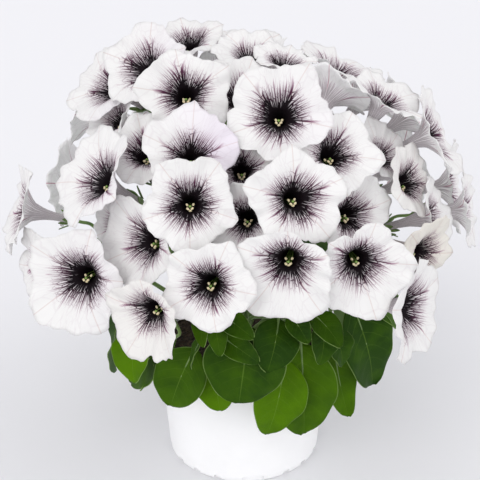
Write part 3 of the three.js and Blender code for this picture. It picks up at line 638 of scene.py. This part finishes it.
def leaf_material(name, dark, bright, vein, hair, vein_share, roughness):
    green = new_finish(name, {
        "Roughness": roughness, "Specular IOR Level": 0.05,
        "Subsurface Weight": 0.08, "Subsurface Radius": (1 * MM, 2 * MM, 0.5 * MM)})
    tree = green.node_tree
    calc = partial(number, tree)
    cloud = texture(tree, "Noise", 60, detail=4).outputs["Fac"]
    tone = calc("MULTIPLY_ADD", cloud, 0.9, -0.45)
    tone = calc("ADD", carried(tree, "leaf")[2], tone, clamp=True)
    veins = shader_node(tree, "Group", node_tree=leaf_vein_group)
    colour = mixed(tree, tone, dark, bright)
    for part, share, tint in (("Side Veins", 0.45 * vein_share, vein), ("Midrib", vein_share, vein),
                              ("Margin", 0.75, hair)):
        colour = mixed(tree, calc("MULTIPLY", veins.outputs[part], share), colour, tint)
    height = calc("MULTIPLY_ADD", veins.outputs["Side Veins"], -0.6, veins.outputs["Cells"])
    height = calc("MULTIPLY_ADD", veins.outputs["Midrib"], -1, height)
    dress(tree, colour, height, 0.3, 0.7 * MM)
    return green


leaf_face = leaf_material(
    "leaf_upper_face", (0.018, 0.052, 0.004), (0.080, 0.185, 0.001), vein=(0.16, 0.28, 0.04),
    hair=(0.22, 0.33, 0.10), vein_share=0.45, roughness=0.5)
leaf_under = leaf_material(
    "leaf_underside", (0.07, 0.12, 0.05), (0.15, 0.24, 0.07), vein=(0.24, 0.33, 0.15),
    hair=(0.4, 0.48, 0.28), vein_share=0.7, roughness=0.7)

# ---- The flowers' places. Each corolla of the frame is read once: the bottom of its throat, where ten
# faces meet, and the middle of its tube's foot give its axis, and the rest its rings of petal corners.
THROAT_DEPTH = 15 * MM
TUBE_LENGTH = 33 * MM
LOBES = 5
SPOKES = 4 * LOBES


def read_flower(node):
    """A corolla's place, and its rings as (reach, height) from the throat, round from the uppermost petal."""
    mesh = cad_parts[node].data
    keys = [tuple(round(c * 1e6) for c in vertex.co) for vertex in mesh.vertices]
    order, corners = {}, []
    for key, vertex in zip(keys, mesh.vertices):
        if key not in order:
            order[key] = len(corners)
            corners.append(vertex.co.copy())
    met = [set() for _ in corners]
    for face in mesh.polygons:
        ids = {order[keys[v]] for v in face.vertices}
        for a in ids:
            met[a] |= ids - {a}
    for top in (i for i, near in enumerate(met) if len(near) == 2 * LOBES):
        feet = [i for i, near in enumerate(met) if len(near) == LOBES
                and abs((corners[i] - corners[top]).length - (TUBE_LENGTH - THROAT_DEPTH)) < 2e-5]
        if feet:
            break
    foot = feet[0]
    axis = (corners[top] - corners[foot]).normalized()
    throat = corners[top] + axis * THROAT_DEPTH
    ahead = max((corners[i] - corners[foot] for i in met[foot]), key=lambda spoke: spoke.z).normalized()
    aside = ahead.cross(axis)
    spokes = [[] for _ in range(SPOKES)]
    for i, corner in enumerate(corners):
        if i not in (top, foot) and i not in met[foot]:
            off = corner - throat
            x, y, z = off.dot(aside), off.dot(ahead), off.dot(axis)
            spokes[round(math.atan2(x, y) / (2 * math.pi) * SPOKES) % SPOKES].append((math.hypot(x, y), z))
    rings = {"throat": [], "middle": [], "edge": []}
    for k, spoke in enumerate(spokes):
        spoke.sort()
        rings["edge"].append(max(spoke[-2:], key=lambda point: point[1]))
        if k % 2 == 0:
            rings["throat"].append(spoke[0])
            rings["middle"].append(max(spoke[2:4], key=lambda point: point[1]))
    place = Matrix((aside, ahead, axis)).transposed().to_4x4()
    place.translation = throat
    return {"place": place, "rings": rings}


flowers = {node: read_flower(node) for node in sorted(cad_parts) if node.startswith("bloom_")}

# ---- The flower stalks: each springs from a leaf joint on a stem, straightens behind its flower and
# ends in the calyx, a small green cup with five narrow hairy sepals that stand off the tube.
SEAT = -TUBE_LENGTH - 0.3 * MM
CALYX_RADIUS = 2.9 * MM
SEPAL_LENGTH = 9 * MM
SEPAL_HALF = 1.75 * MM
SEPAL_THICK = 0.5 * MM
OPEN_SEPALS, SHUT_SEPALS = 8.5 * MM, 6 * MM
STALK_RADIUS = 1.3 * MM
STALK_STRAIGHT = 16 * MM
STALK_CHOICES = 8
STALK_CORNER = 0.06 * MM


def beside(axis):
    """A turned place whose Z is an axis and whose Y points as far up as it can."""
    ahead = (Vector((0, 0, 1)) - axis * axis.z).normalized()
    return Matrix((ahead.cross(axis), ahead, axis)).transposed().to_4x4()


for flower in flowers.values():
    throat = flower["place"].translation
    axis = flower["place"].to_3x3() @ Vector((0, 0, 1))
    flower["upright"] = Matrix.Translation(throat) @ beside(axis)
    flower["sepals"] = next(
        (reach for reach in (OPEN_SEPALS, SHUT_SEPALS)
         if is_green_corner(flower["upright"] @ Vector((0, reach, SEAT + SEPAL_LENGTH)))), OPEN_SEPALS)
    # The stalk runs to the joint that the green solid's runs to: most of its corners lie along that line.
    bend = throat + axis * (SEAT - STALK_STRAIGHT)
    chosen = (-1, None, None)
    for joint, stem in best_joints(bend + axis * 0.3 * MM, -axis, STALK_CHOICES):
        line = joint - bend
        touched = 0
        for point in green_points:
            share = (point - bend).dot(line) / line.length_squared
            if 0.12 < share < 1.05 and abs((point - bend - line * share).length - STALK_RADIUS) < STALK_CORNER:
                touched += 1
        if touched > chosen[0]:
            chosen = (touched, joint, stem)
    joint, stem = chosen[1:]
    seat = throat + axis * (SEAT - 2.5 * MM)
    run = smooth_line([joint, joint.lerp(bend, 0.5), joint.lerp(bend, 0.86), bend + axis * 3 * MM,
                       bend + axis * 9 * MM, seat], 5)
    shoots[stem].append([(point, STALK_RADIUS * (1.05 - 0.1 * i / len(run))) for i, point in enumerate(run)])
    flower["stem"] = stem


def thicken(piece, wall, offset, **settings):
    """Gives the active piece a wall."""
    thickness = piece.modifiers.new("thickness", "SOLIDIFY")
    thickness.thickness = wall
    thickness.offset = offset
    for setting, value in settings.items():
        setattr(thickness, setting, value)
    bpy.ops.object.modifier_apply(modifier="thickness")


# One calyx, with the throat at the origin and the flower's axis up: a cup turned by spinning, and a
# sepal that is copied round it. A second one has its sepals drawn in, for flowers that stand close.
cup = spun("calyx", [
    (0, SEAT - 3.4 * MM),
    (1.35 * MM, SEAT - 3.2 * MM),
    (2.3 * MM, SEAT - 1.6 * MM),
    (3.1 * MM, SEAT + 0.3 * MM),
    (3.4 * MM, SEAT + 2.0 * MM),
    (3.1 * MM, SEAT + 2.2 * MM),
    (CALYX_RADIUS, SEAT + 0.6 * MM),
    (1.5 * MM, SEAT - 0.1 * MM),
    (0, SEAT - 0.1 * MM),
], 15)
clear_selection()
bpy.ops.mesh.primitive_grid_add(x_subdivisions=4, y_subdivisions=8, size=2)
sepal = bpy.context.object
for vertex in sepal.data.vertices:
    across, t = vertex.co.x, 0.5 * (vertex.co.y + 1)
    half = SEPAL_HALF * math.sin(math.pi * (0.22 + 0.78 * t)) ** 0.8 + 0.1 * MM
    out = CALYX_RADIUS + (OPEN_SEPALS - CALYX_RADIUS) * t ** 1.15 + 0.5 * MM * across ** 2
    vertex.co = (half * across, out, SEAT - 0.4 * MM + (SEPAL_LENGTH + 0.4 * MM) * t ** 0.95)
mend(outwards=True)
thicken(sepal, SEPAL_THICK, 0)
sepals = [copied(sepal, Matrix.Rotation(-2 * math.pi * i / LOBES, 4, "Z")) for i in range(1, LOBES)]
open_calyx = joined([cup, sepal, *sepals])
bpy.ops.object.shade_smooth()
open_calyx.data.materials.append(stem_green)
shut_calyx = copied(open_calyx, Matrix.Identity(4))
for vertex in shut_calyx.data.vertices:
    share = max(0, (vertex.co.z - SEAT) / SEPAL_LENGTH)
    vertex.co.xy *= 1 - (1 - SHUT_SEPALS / OPEN_SEPALS) * share
calyxes = {OPEN_SEPALS: open_calyx, SHUT_SEPALS: shut_calyx}

# ---- The green plant: every stem grew as one with its leaves, stalks and calyxes. Each is put together
# from round shoots, thin blades with the darker face up, and a calyx for each of its flowers.
BLADE_GRID = (16, 26)


def tubes(name, lines, roundness):
    """Rods with closed ends along lines of (point, radius)."""
    curve = bpy.data.curves.new(name, "CURVE")
    curve.dimensions = "3D"
    curve.bevel_depth = 1
    curve.bevel_resolution = roundness
    curve.use_fill_caps = True
    for line in lines:
        spline = curve.splines.new("POLY")
        spline.points.add(len(line) - 1)
        for spot, (point, radius) in zip(spline.points, line):
            spot.co = (*point, 1)
            spot.radius = radius
    rods = bpy.data.objects.new(name, curve)
    bpy.context.collection.objects.link(rods)
    pick(rods)
    bpy.ops.object.convert(target="MESH")
    bpy.ops.object.shade_smooth()
    return bpy.context.object


def make_blade(leaf):
    """A leaf's blade: a grid bent to the leaf's form, which carries its places for the veins."""
    clear_selection()
    bpy.ops.mesh.primitive_grid_add(x_subdivisions=BLADE_GRID[0], y_subdivisions=BLADE_GRID[1], size=2)
    blade = bpy.context.object
    places = blade.data.attributes.new("leaf", "FLOAT_VECTOR", "POINT")
    for vertex in blade.data.vertices:
        across, t = vertex.co.x, 0.004 + 0.496 * (vertex.co.y + 1)
        places.data[vertex.index].vector = (t, across, leaf["tone"])
        vertex.co = leaf_point(leaf, t, across)
    mend(merge=2e-5)
    if sum(face.normal.dot(leaf["face"]) for face in blade.data.polygons) < 0:
        blade.data.flip_normals()
    blade.data.materials.append(leaf_face)
    blade.data.materials.append(leaf_under)
    thicken(blade, LEAF_THICK, -1, use_even_offset=True, material_offset=1)
    bpy.ops.object.shade_smooth()
    return blade


for stem, lines in shoots.items():
    rods = tubes("shoots", lines, 1)
    rods.data.materials.append(stem_green)
    grown = [rods, *(make_blade(leaf) for leaf in blades[stem])]
    grown += [copied(calyxes[flower["sepals"]], flower["upright"])
              for flower in flowers.values() if flower["stem"] == stem]
    green = joined(grown)
    green.name = green.data.name = f"leafy_stem_{stem + 1:02d}"
    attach(green, "root")
    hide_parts("plant")
for calyx in calyxes.values():
    bpy.data.objects.remove(calyx)

# ---- The crown: the short woody foot that the stems spring from, standing in its hole in the mix. It is
# part of the same grown piece.
CROWN_RADIUS = 7 * MM
CROWN_TOP = 99 * MM
crown = spun("crown", [
    (0, CROWN_FOOT),
    (5.5 * MM, CROWN_FOOT),
    (6.8 * MM, CROWN_FOOT + 1.5 * MM),
    (CROWN_RADIUS, 85 * MM),
    (CROWN_RADIUS, CROWN_TOP - 3 * MM),
    (5.2 * MM, CROWN_TOP - 0.8 * MM),
    (2.5 * MM, CROWN_TOP),
    (0, CROWN_TOP),
], 24)
bpy.ops.object.shade_smooth()
crown.data.materials.append(stem_green)
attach(crown, "root")
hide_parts("plant")

# ---- The corollas: five petals fused to a funnel, thin and soft, white with a net of near-black purple
# veins that closes towards the throat. No two margins are alike, and each corolla stands in its calyx.
PETAL_THICK = 0.35 * MM
COLUMNS = 100
# The tube's rings, as radii and heights from the throat in millimetres, and the steps from ring to ring:
# three spans of the tube, then up to the throat, the middle of the petals and their edge.
TUBE_RINGS = ((2.2, -32.6), (2.4, -24), (3.4, -14), (5.6, -6.5))
TUBE_BOTTOM = -32.8 * MM
SPAN_STEPS = (2, 2, 2, 3, 6, 6)
# How a flower's petals may differ, each as the least and the most. Reaches are shares of the petal's.
POINTEDNESS = (0.4, 1.3)
TIP_REACH, TIP_WIDTH = (0.02, 0.10), (0.3, 0.8)
BAY_DEPTH, BAY_WIDTH = (0.01, 0.06), (0.15, 0.4)
LOBE_BEND = (-3.0, 1.6)
NICKS, NICK_WIDTH, NICK_DEPTH = 7, (0.03, 0.07), (0.01, 0.05)
# Waves round the margin: the size of each, its count, and which of the flower's own phases it has.
RAGS = ((0.014, 7, 0), (0.014, 9, 1), (0.014, 12, 2), (0.010, 19, 3), (0.010, 27, 4))
PLEATS = ((0.8, 10, 7), (0.5, 13, 1))
FRILLS = ((1.3, 8, 5), (1.0, 17, 6))
RIB_GROOVE, RIB_WIDTH = 0.6 * MM, 0.12
SEAM_PUCKER, SEAM_WIDTH = 0.5 * MM, 0.18
FEATHERING = 0.16
NEAR = 5 * MM
# Flowers that are more pointed, buff with age, or tinged with lilac on one side.
POINTED = {"bloom_02": 1.5, "bloom_04": 1.3, "bloom_07": 1.8}
FADED = {"bloom_07": 0.12, "bloom_20": 0.4, "bloom_22": 0.1}
LILAC = {"bloom_06": 0.12, "bloom_08": 0.12, "bloom_09": 0.6, "bloom_12": 0.1, "bloom_27": 0.2,
         "bloom_28": 0.25}
LILAC_SIDE = math.radians(70)
LILAC_TINT = (0.70, 0.56, 0.78)
BUFF_TINT = (0.62, 0.55, 0.40)
FINE_VEIN_TINT = (0.50, 0.40, 0.46)


def between(p0, p1, p2, p3, t):
    """A point of the smooth curve from p1 to p2, which comes from p0 and goes on to p3."""
    return tuple(0.5 * (2 * b + (c - a) * t + (2 * a - 5 * b + 4 * c - d) * t * t
                        + (3 * b - a - 3 * c + d) * t ** 3)
                 for a, b, c, d in zip(p0, p1, p2, p3))


def round_ring(ring, share):
    """A point of a closed ring of (reach, height) pairs, smoothly between them."""
    spot = share * len(ring)
    i = int(spot)
    return between(*(ring[(i + k) % len(ring)] for k in (-1, 0, 1, 2)), spot - i)


def along_rows(rows, span, t):
    """A point of the line through the rows, which runs straight out at its end."""
    last = len(rows) - 1
    p0, p1, p2, p3 = (rows[min(last, max(0, span + k))] for k in (-1, 0, 1, 2))
    if span == last - 1:
        p3 = tuple(2 * c - b for b, c in zip(p1, p2))
    return between(p0, p1, p2, p3, t)


def waves(parts, angle, phases):
    return sum(size * math.sin(count * angle + phases[which]) for size, count, which in parts)


petal_trees = {node: BVHTree.FromPolygons([vertex.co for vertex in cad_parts[node].data.vertices],
                                          [face.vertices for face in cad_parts[node].data.polygons])
               for node in flowers}


def petal_columns(node, flower, seed):
    """A corolla's form: for each column its angle, its place between midrib and seam, and a line of
    (reach, height, share of the petal) from the tube's bottom to the margin."""
    rings = flower["rings"]
    others = [tree for other, tree in petal_trees.items() if other != node]
    size = sum(reach for reach, height in rings["edge"]) / SPOKES
    odd = random.Random(seed)
    phases = [odd.uniform(0, 2 * math.pi) for _ in range(8)]
    pointed = odd.uniform(*POINTEDNESS) * POINTED.get(node, 1)
    tips = [(pointed * odd.uniform(*TIP_REACH), odd.uniform(*TIP_WIDTH)) for _ in range(LOBES)]
    bays = [(pointed * odd.uniform(*BAY_DEPTH), odd.uniform(*BAY_WIDTH)) for _ in range(LOBES)]
    bends = [odd.uniform(*LOBE_BEND) * MM for _ in range(LOBES)]
    nicks = [(odd.uniform(0, 2 * math.pi), odd.uniform(*NICK_WIDTH), odd.uniform(*NICK_DEPTH))
             for _ in range(NICKS)]
    columns = []
    for column in range(COLUMNS + 1):
        share = (column % COLUMNS) / COLUMNS
        angle = 2 * math.pi * share
        lobe = share * LOBES
        off = 2 * abs(lobe - round(lobe))
        tip_size, tip_width = tips[round(lobe) % LOBES]
        bay_size, bay_width = bays[int(lobe) % LOBES]
        margin = tip_size * max(0, 1 - off / tip_width) ** 1.6
        margin -= bay_size * math.exp(-((1 - off) / bay_width) ** 2)
        margin += waves(RAGS, angle, phases)
        for middle, width, depth in nicks:
            margin -= depth * math.exp(-(math.remainder(angle - middle, 2 * math.pi) / width) ** 2)
        pleat, frill = waves(PLEATS, angle, phases), waves(FRILLS, angle, phases)
        rows = [(radius * MM, height * MM) for radius, height in TUBE_RINGS]
        rows += [round_ring(rings[ring], share) for ring in ("throat", "middle", "edge")]
        # Where the margin comes close to another flower it keeps nearer to its plain form.
        reach, height = rows[-1]
        rim = flower["place"] @ Vector((reach * math.sin(angle), reach * math.cos(angle), height))
        close = min(tree.find_nearest(rim, NEAR)[3] or NEAR for tree in others)
        free = max(0, min(1, (close - MM) / (3 * MM)))
        line = [(0, TUBE_BOTTOM, 0)]
        for span, steps in enumerate(SPAN_STEPS):
            for step in range(steps + (span == len(SPAN_STEPS) - 1)):
                t = step / steps
                reach, height = along_rows(rows, span, t)
                out = max(0, (span + t - len(TUBE_RINGS)) / 2)
                reach *= 1 + out ** 5 * free * margin
                groove = RIB_GROOVE * math.exp(-(off / RIB_WIDTH) ** 2) * math.sin(math.pi * min(1, out) ** 0.7)
                pucker = SEAM_PUCKER * math.exp(-((off - 1) / SEAM_WIDTH) ** 2) * out
                bend = bends[round(lobe) % LOBES] * out ** 4 * (1 - off ** 2)
                height += free * (MM * (out ** 3 * frill * (0.4 + 0.6 * off) + pleat * out ** 1.5) + bend)
                height -= groove + pucker
                line.append((reach, height, reach / size))
        columns.append((angle, off, line))
    return columns


def petal_veins():
    """The petal's net: streaks that run out from the throat, open into a net and end ragged."""
    tree = new_pattern("petal veins", "Net", "Streaks", "Streak Tone", "Midrib", "Fine Veins", "Faded")
    calc = partial(number, tree)
    side, ahead, radial = carried(tree, "petal")
    off, seed, age = carried(tree, "petal_look")

    def on_cylinder(round_scale, radial_scale):
        """A space round the flower and out along the petal, in which every flower has its own place."""
        deep = calc("MULTIPLY_ADD", seed, 17.3, calc("MULTIPLY", radial, radial_scale))
        place = shader_node(tree, "CombineXYZ", calc("MULTIPLY", side, round_scale),
                            calc("MULTIPLY", ahead, round_scale), deep)
        return place.outputs[0]

    def noise(round_scale, radial_scale):
        return texture(tree, "Noise", 1, detail=1, where=on_cylinder(round_scale, radial_scale)).outputs["Fac"]

    def net(round_scale, radial_scale):
        """How far it is to the nearest thread of a wobbly net."""
        shake = texture(tree, "Noise", 1.3, where=on_cylinder(round_scale * 0.5, radial_scale))
        wobble = shader_node(tree, "VectorMath", shake.outputs["Color"], (0.55, 0.55, 0.55),
                             on_cylinder(round_scale, radial_scale), operation="MULTIPLY_ADD")
        return cell_edges(tree, 1, wobble.outputs[0])

    # The streaks reach further along the midribs than between them, and here more than there.
    patchy = calc("MULTIPLY_ADD", noise(1.4, 0.4), 0.22, -0.11)
    flame = calc("MULTIPLY", calc("MULTIPLY", off, off), -30)
    flame = calc("POWER", 2.718, flame)
    reach = calc("ADD", radial, patchy)
    reach = calc("MULTIPLY_ADD", flame, -0.06, reach)
    reach = calc("MULTIPLY_ADD", off, 0.03, reach)
    turn = calc("DIVIDE", calc("ARCTAN2", side, ahead), 2 * math.pi)
    sway = calc("SUBTRACT", noise(5, 1.5), 0.5)

    def streaks(count, shortest, longer, broad):
        """So many streaks round the throat, each tapering to its own end."""
        spot = calc("MULTIPLY_ADD", turn, count, calc("MULTIPLY", sway, 0.035 * count))
        which = shader_node(tree, "CombineXYZ", calc("FLOOR", spot), seed).outputs[0]
        chance = shader_node(tree, "TexWhiteNoise", which, noise_dimensions="2D")
        end = calc("MULTIPLY_ADD", chance.outputs["Value"], longer, shortest)
        left = calc("SUBTRACT", end, reach)
        left = calc("DIVIDE", left, calc("SUBTRACT", end, 0.24), clamp=True)
        width = calc("MULTIPLY", calc("POWER", left, 0.75), broad)
        aside = calc("SUBTRACT", calc("FRACT", spot), 0.5)
        return past(tree, width, calc("ABSOLUTE", aside), 7)

    # Three sets of streaks, a thin net that joins them near the throat, and the dark throat itself.
    lines = streaks(47, 0.54, 0.30, 0.34)
    lines = calc("MAXIMUM", lines, streaks(71, 0.46, 0.36, 0.36))
    lines = calc("MAXIMUM", lines, streaks(33, 0.64, 0.30, 0.15))
    thins = ((0.24, 0.24), (0.34, 0.15), (0.46, 0.09), (0.58, 0.05), (0.74, 0))
    thread = ramped(tree, reach, *((place, (width, width, width)) for place, width in thins), ease=True)
    dark = calc("MAXIMUM", lines, past(tree, thread, net(10, 6), 12))
    dark = calc("MAXIMUM", dark, past(tree, 0.33, reach, 10))
    # Midribs: one line along each petal, and faint veins that feather off it over the white.
    width = calc("DIVIDE", 0.026, calc("MAXIMUM", radial, 0.2))
    rib = calc("MULTIPLY", close_by(tree, off, width), past(tree, radial, 0.3, 6))
    put_out(tree, dark, lines, reach, rib, past(tree, 0.07, net(9, 2.6), 9), age)
    return tree


petal_vein_group = petal_veins()


def petal_material(name, white, haze, net, inked, fine, rib, glow, tints):
    """Petal skin: white with a haze of mauve towards the throat, under its net, fine veins and midribs."""
    petal = new_finish(name, {
        "Roughness": 0.7, "Specular IOR Level": 0.12, "Subsurface Weight": glow,
        "Subsurface Radius": (glow * 3 * MM, glow * 3 * MM, glow * 3 * MM), "Subsurface Scale": 1})
    tree = petal.node_tree
    calc = partial(number, tree)
    veins = shader_node(tree, "Group", node_tree=petal_vein_group)
    tone = veins.outputs["Streak Tone"]
    mauve = past(tree, 0.68, tone, 2.2)
    lilac = calc("MULTIPLY", veins.outputs["Faded"], -0.5, clamp=True)
    streak = ramped(tree, tone, (0.32, tints["throat"]), (0.50, tints["midway"]), (0.76, tints["outer"]))
    colour = mixed(tree, calc("MULTIPLY", mauve, haze), white, tints["haze"])
    colour = mixed(tree, lilac, colour, LILAC_TINT)
    for part, share, tint in (("Faded", 0.8, BUFF_TINT), ("Fine Veins", fine, FINE_VEIN_TINT),
                              ("Midrib", rib, tints["midrib"]), (net, inked, streak)):
        amount = calc("MULTIPLY", veins.outputs[part], share, clamp=True)
        colour = mixed(tree, amount, colour, tint)
    height = calc("MULTIPLY_ADD", veins.outputs["Midrib"], -1.5, veins.outputs["Fine Veins"])
    dress(tree, colour, height, 0.25, 0.4 * MM)
    return petal


petal_face = petal_material(
    "petal_face", (0.755, 0.75, 0.74), haze=0.4, net="Net", inked=1, fine=0.24, rib=0.4, glow=0.12,
    tints={
        "haze": (0.52, 0.37, 0.47), "throat": (0.006, 0.003, 0.005), "midway": (0.085, 0.021, 0.054),
        "outer": (0.40, 0.18, 0.29), "midrib": (0.55, 0.36, 0.33)})
# On the outside the white is painted brighter than on the face: painted light, standing in for the light that
# shines through the thin petal onto backs that the lamps leave in shade.
petal_outside_painted_glow = petal_material(
    "petal_outside_painted_glow", (0.93, 0.915, 0.92), haze=0.12, net="Streaks", inked=0.5, fine=0.3, rib=1, glow=0.5,
    tints={
        "haze": (0.66, 0.52, 0.62), "throat": (0.09, 0.03, 0.06), "midway": (0.24, 0.09, 0.18),
        "outer": (0.60, 0.40, 0.52), "midrib": (0.42, 0.10, 0.19)})


def make_corolla(node, flower, seed):
    """A corolla: a grid bent to its form, which carries its places for the veins."""
    rows = sum(SPAN_STEPS) + 1
    columns = petal_columns(node, flower, seed)
    clear_selection()
    bpy.ops.mesh.primitive_grid_add(x_subdivisions=COLUMNS, y_subdivisions=rows, size=2)
    corolla = bpy.context.object
    corolla.name = corolla.data.name = "flower_" + node[-2:]
    petal = corolla.data.attributes.new("petal", "FLOAT_VECTOR", "POINT")
    look = corolla.data.attributes.new("petal_look", "FLOAT_VECTOR", "POINT")
    for vertex in corolla.data.vertices:
        angle, off, line = columns[round(0.5 * (vertex.co.x + 1) * COLUMNS)]
        reach, height, radial = line[round(0.5 * (vertex.co.y + 1) * rows)]
        # The veins leave each midrib like the barbs of a feather.
        vein = angle - FEATHERING * math.sin(LOBES * angle) * max(0, min(radial, 0.8) - 0.25) / 0.5
        petal.data[vertex.index].vector = (math.sin(vein), math.cos(vein), radial)
        lilac = LILAC.get(node, 0) * (0.5 + 0.5 * math.cos(angle - LILAC_SIDE)) ** 2
        look.data[vertex.index].vector = (off, seed, FADED.get(node, 0) - lilac)
        vertex.co = flower["place"] @ Vector((reach * math.sin(angle), reach * math.cos(angle), height))
    mend(merge=1e-6)
    axis = flower["place"].to_3x3() @ Vector((0, 0, 1))
    if sum(face.normal.dot(axis) * face.area for face in corolla.data.polygons) < 0:
        corolla.data.flip_normals()
    corolla.data.materials.append(petal_face)
    corolla.data.materials.append(petal_outside_painted_glow)
    thicken(corolla, PETAL_THICK, -1, material_offset=1)
    bpy.ops.object.shade_smooth()
    return corolla


# ---- The stamens and the stigma: five green threads with cream anthers and one with a green knob, which
# stand in the throat and are fused to the tube inside. One set, with the throat at the origin and the
# flower's axis up, is copied into every corolla.
# Places of their tips, and the height of their feet, in millimetres.
ANTHERS = ((-1.5, -3.2, -3.8), (1.4, -3.0, -4.2), (0.1, -4.4, -5.2), (-2.0, -0.8, -7.2), (2.0, -0.6, -7.6))
STIGMA = (0.0, -1.6, -3.6)
THREAD_FOOT = -29
THREAD_RADIUS = 0.4 * MM
THREAD_STEPS = 5

pollen = new_finish("cream_anther", {"Roughness": 0.85})
tree = pollen.node_tree
dust = texture(tree, "Noise", 2600).outputs["Fac"]
dress(tree, ramped(tree, dust, (0.3, (0.62, 0.50, 0.26)), (0.7, (0.86, 0.78, 0.55))))

stigma_green = new_finish("stigma_green", {"Roughness": 0.35})
tree = stigma_green.node_tree
wet = texture(tree, "Noise", 900).outputs["Fac"]
dress(tree, ramped(tree, wet, (0, (0.10, 0.22, 0.03)), (1, (0.30, 0.45, 0.10))))


def thread(x, y, z):
    """A thread from the tube's wall, low in it, up to a tip."""
    return [(Vector((x * t ** 0.7 + 0.4 * x * (1 - t), y * t ** 0.7, THREAD_FOOT + (z - THREAD_FOOT) * t)) * MM,
             THREAD_RADIUS) for t in (i / THREAD_STEPS for i in range(THREAD_STEPS + 1))]


threads = tubes("stamens", [thread(*tip) for tip in (*ANTHERS, STIGMA)], 0)
threads.data.materials.append(stigma_green)
clear_selection()
bpy.ops.mesh.primitive_uv_sphere_add(segments=10, ring_count=7, radius=1)
anther = bpy.context.object
for vertex in anther.data.vertices:
    cleft = 1 - 0.28 * math.exp(-(vertex.co.x / 0.3) ** 2) * abs(vertex.co.z)
    vertex.co = (1.15 * vertex.co.x, 0.9 * vertex.co.y * cleft, 0.8 * vertex.co.z * cleft)
anther.data.materials.append(pollen)
anthers = [copied(anther, Matrix.Translation(Vector(tip) * MM) @ Matrix.Rotation(0.5 * tip[0], 4, "Z")
                  @ Matrix.Scale(MM, 4)) for tip in ANTHERS]
bpy.data.objects.remove(anther)
clear_selection()
bpy.ops.mesh.primitive_uv_sphere_add(segments=10, ring_count=6, radius=1)
knob = bpy.context.object
knob.data.transform(Matrix.Translation(Vector(STIGMA) * MM)
                    @ Matrix.Diagonal((1.0 * MM, 0.8 * MM, 0.6 * MM, 1)))
knob.data.materials.append(stigma_green)
stamens = joined([threads, *anthers, knob])
bpy.ops.object.shade_smooth()

for seed, (node, flower) in enumerate(flowers.items(), start=1):
    corolla = joined([make_corolla(node, flower, seed), copied(stamens, flower["upright"])])
    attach(corolla, "root")
    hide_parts(node)
bpy.data.objects.remove(stamens)
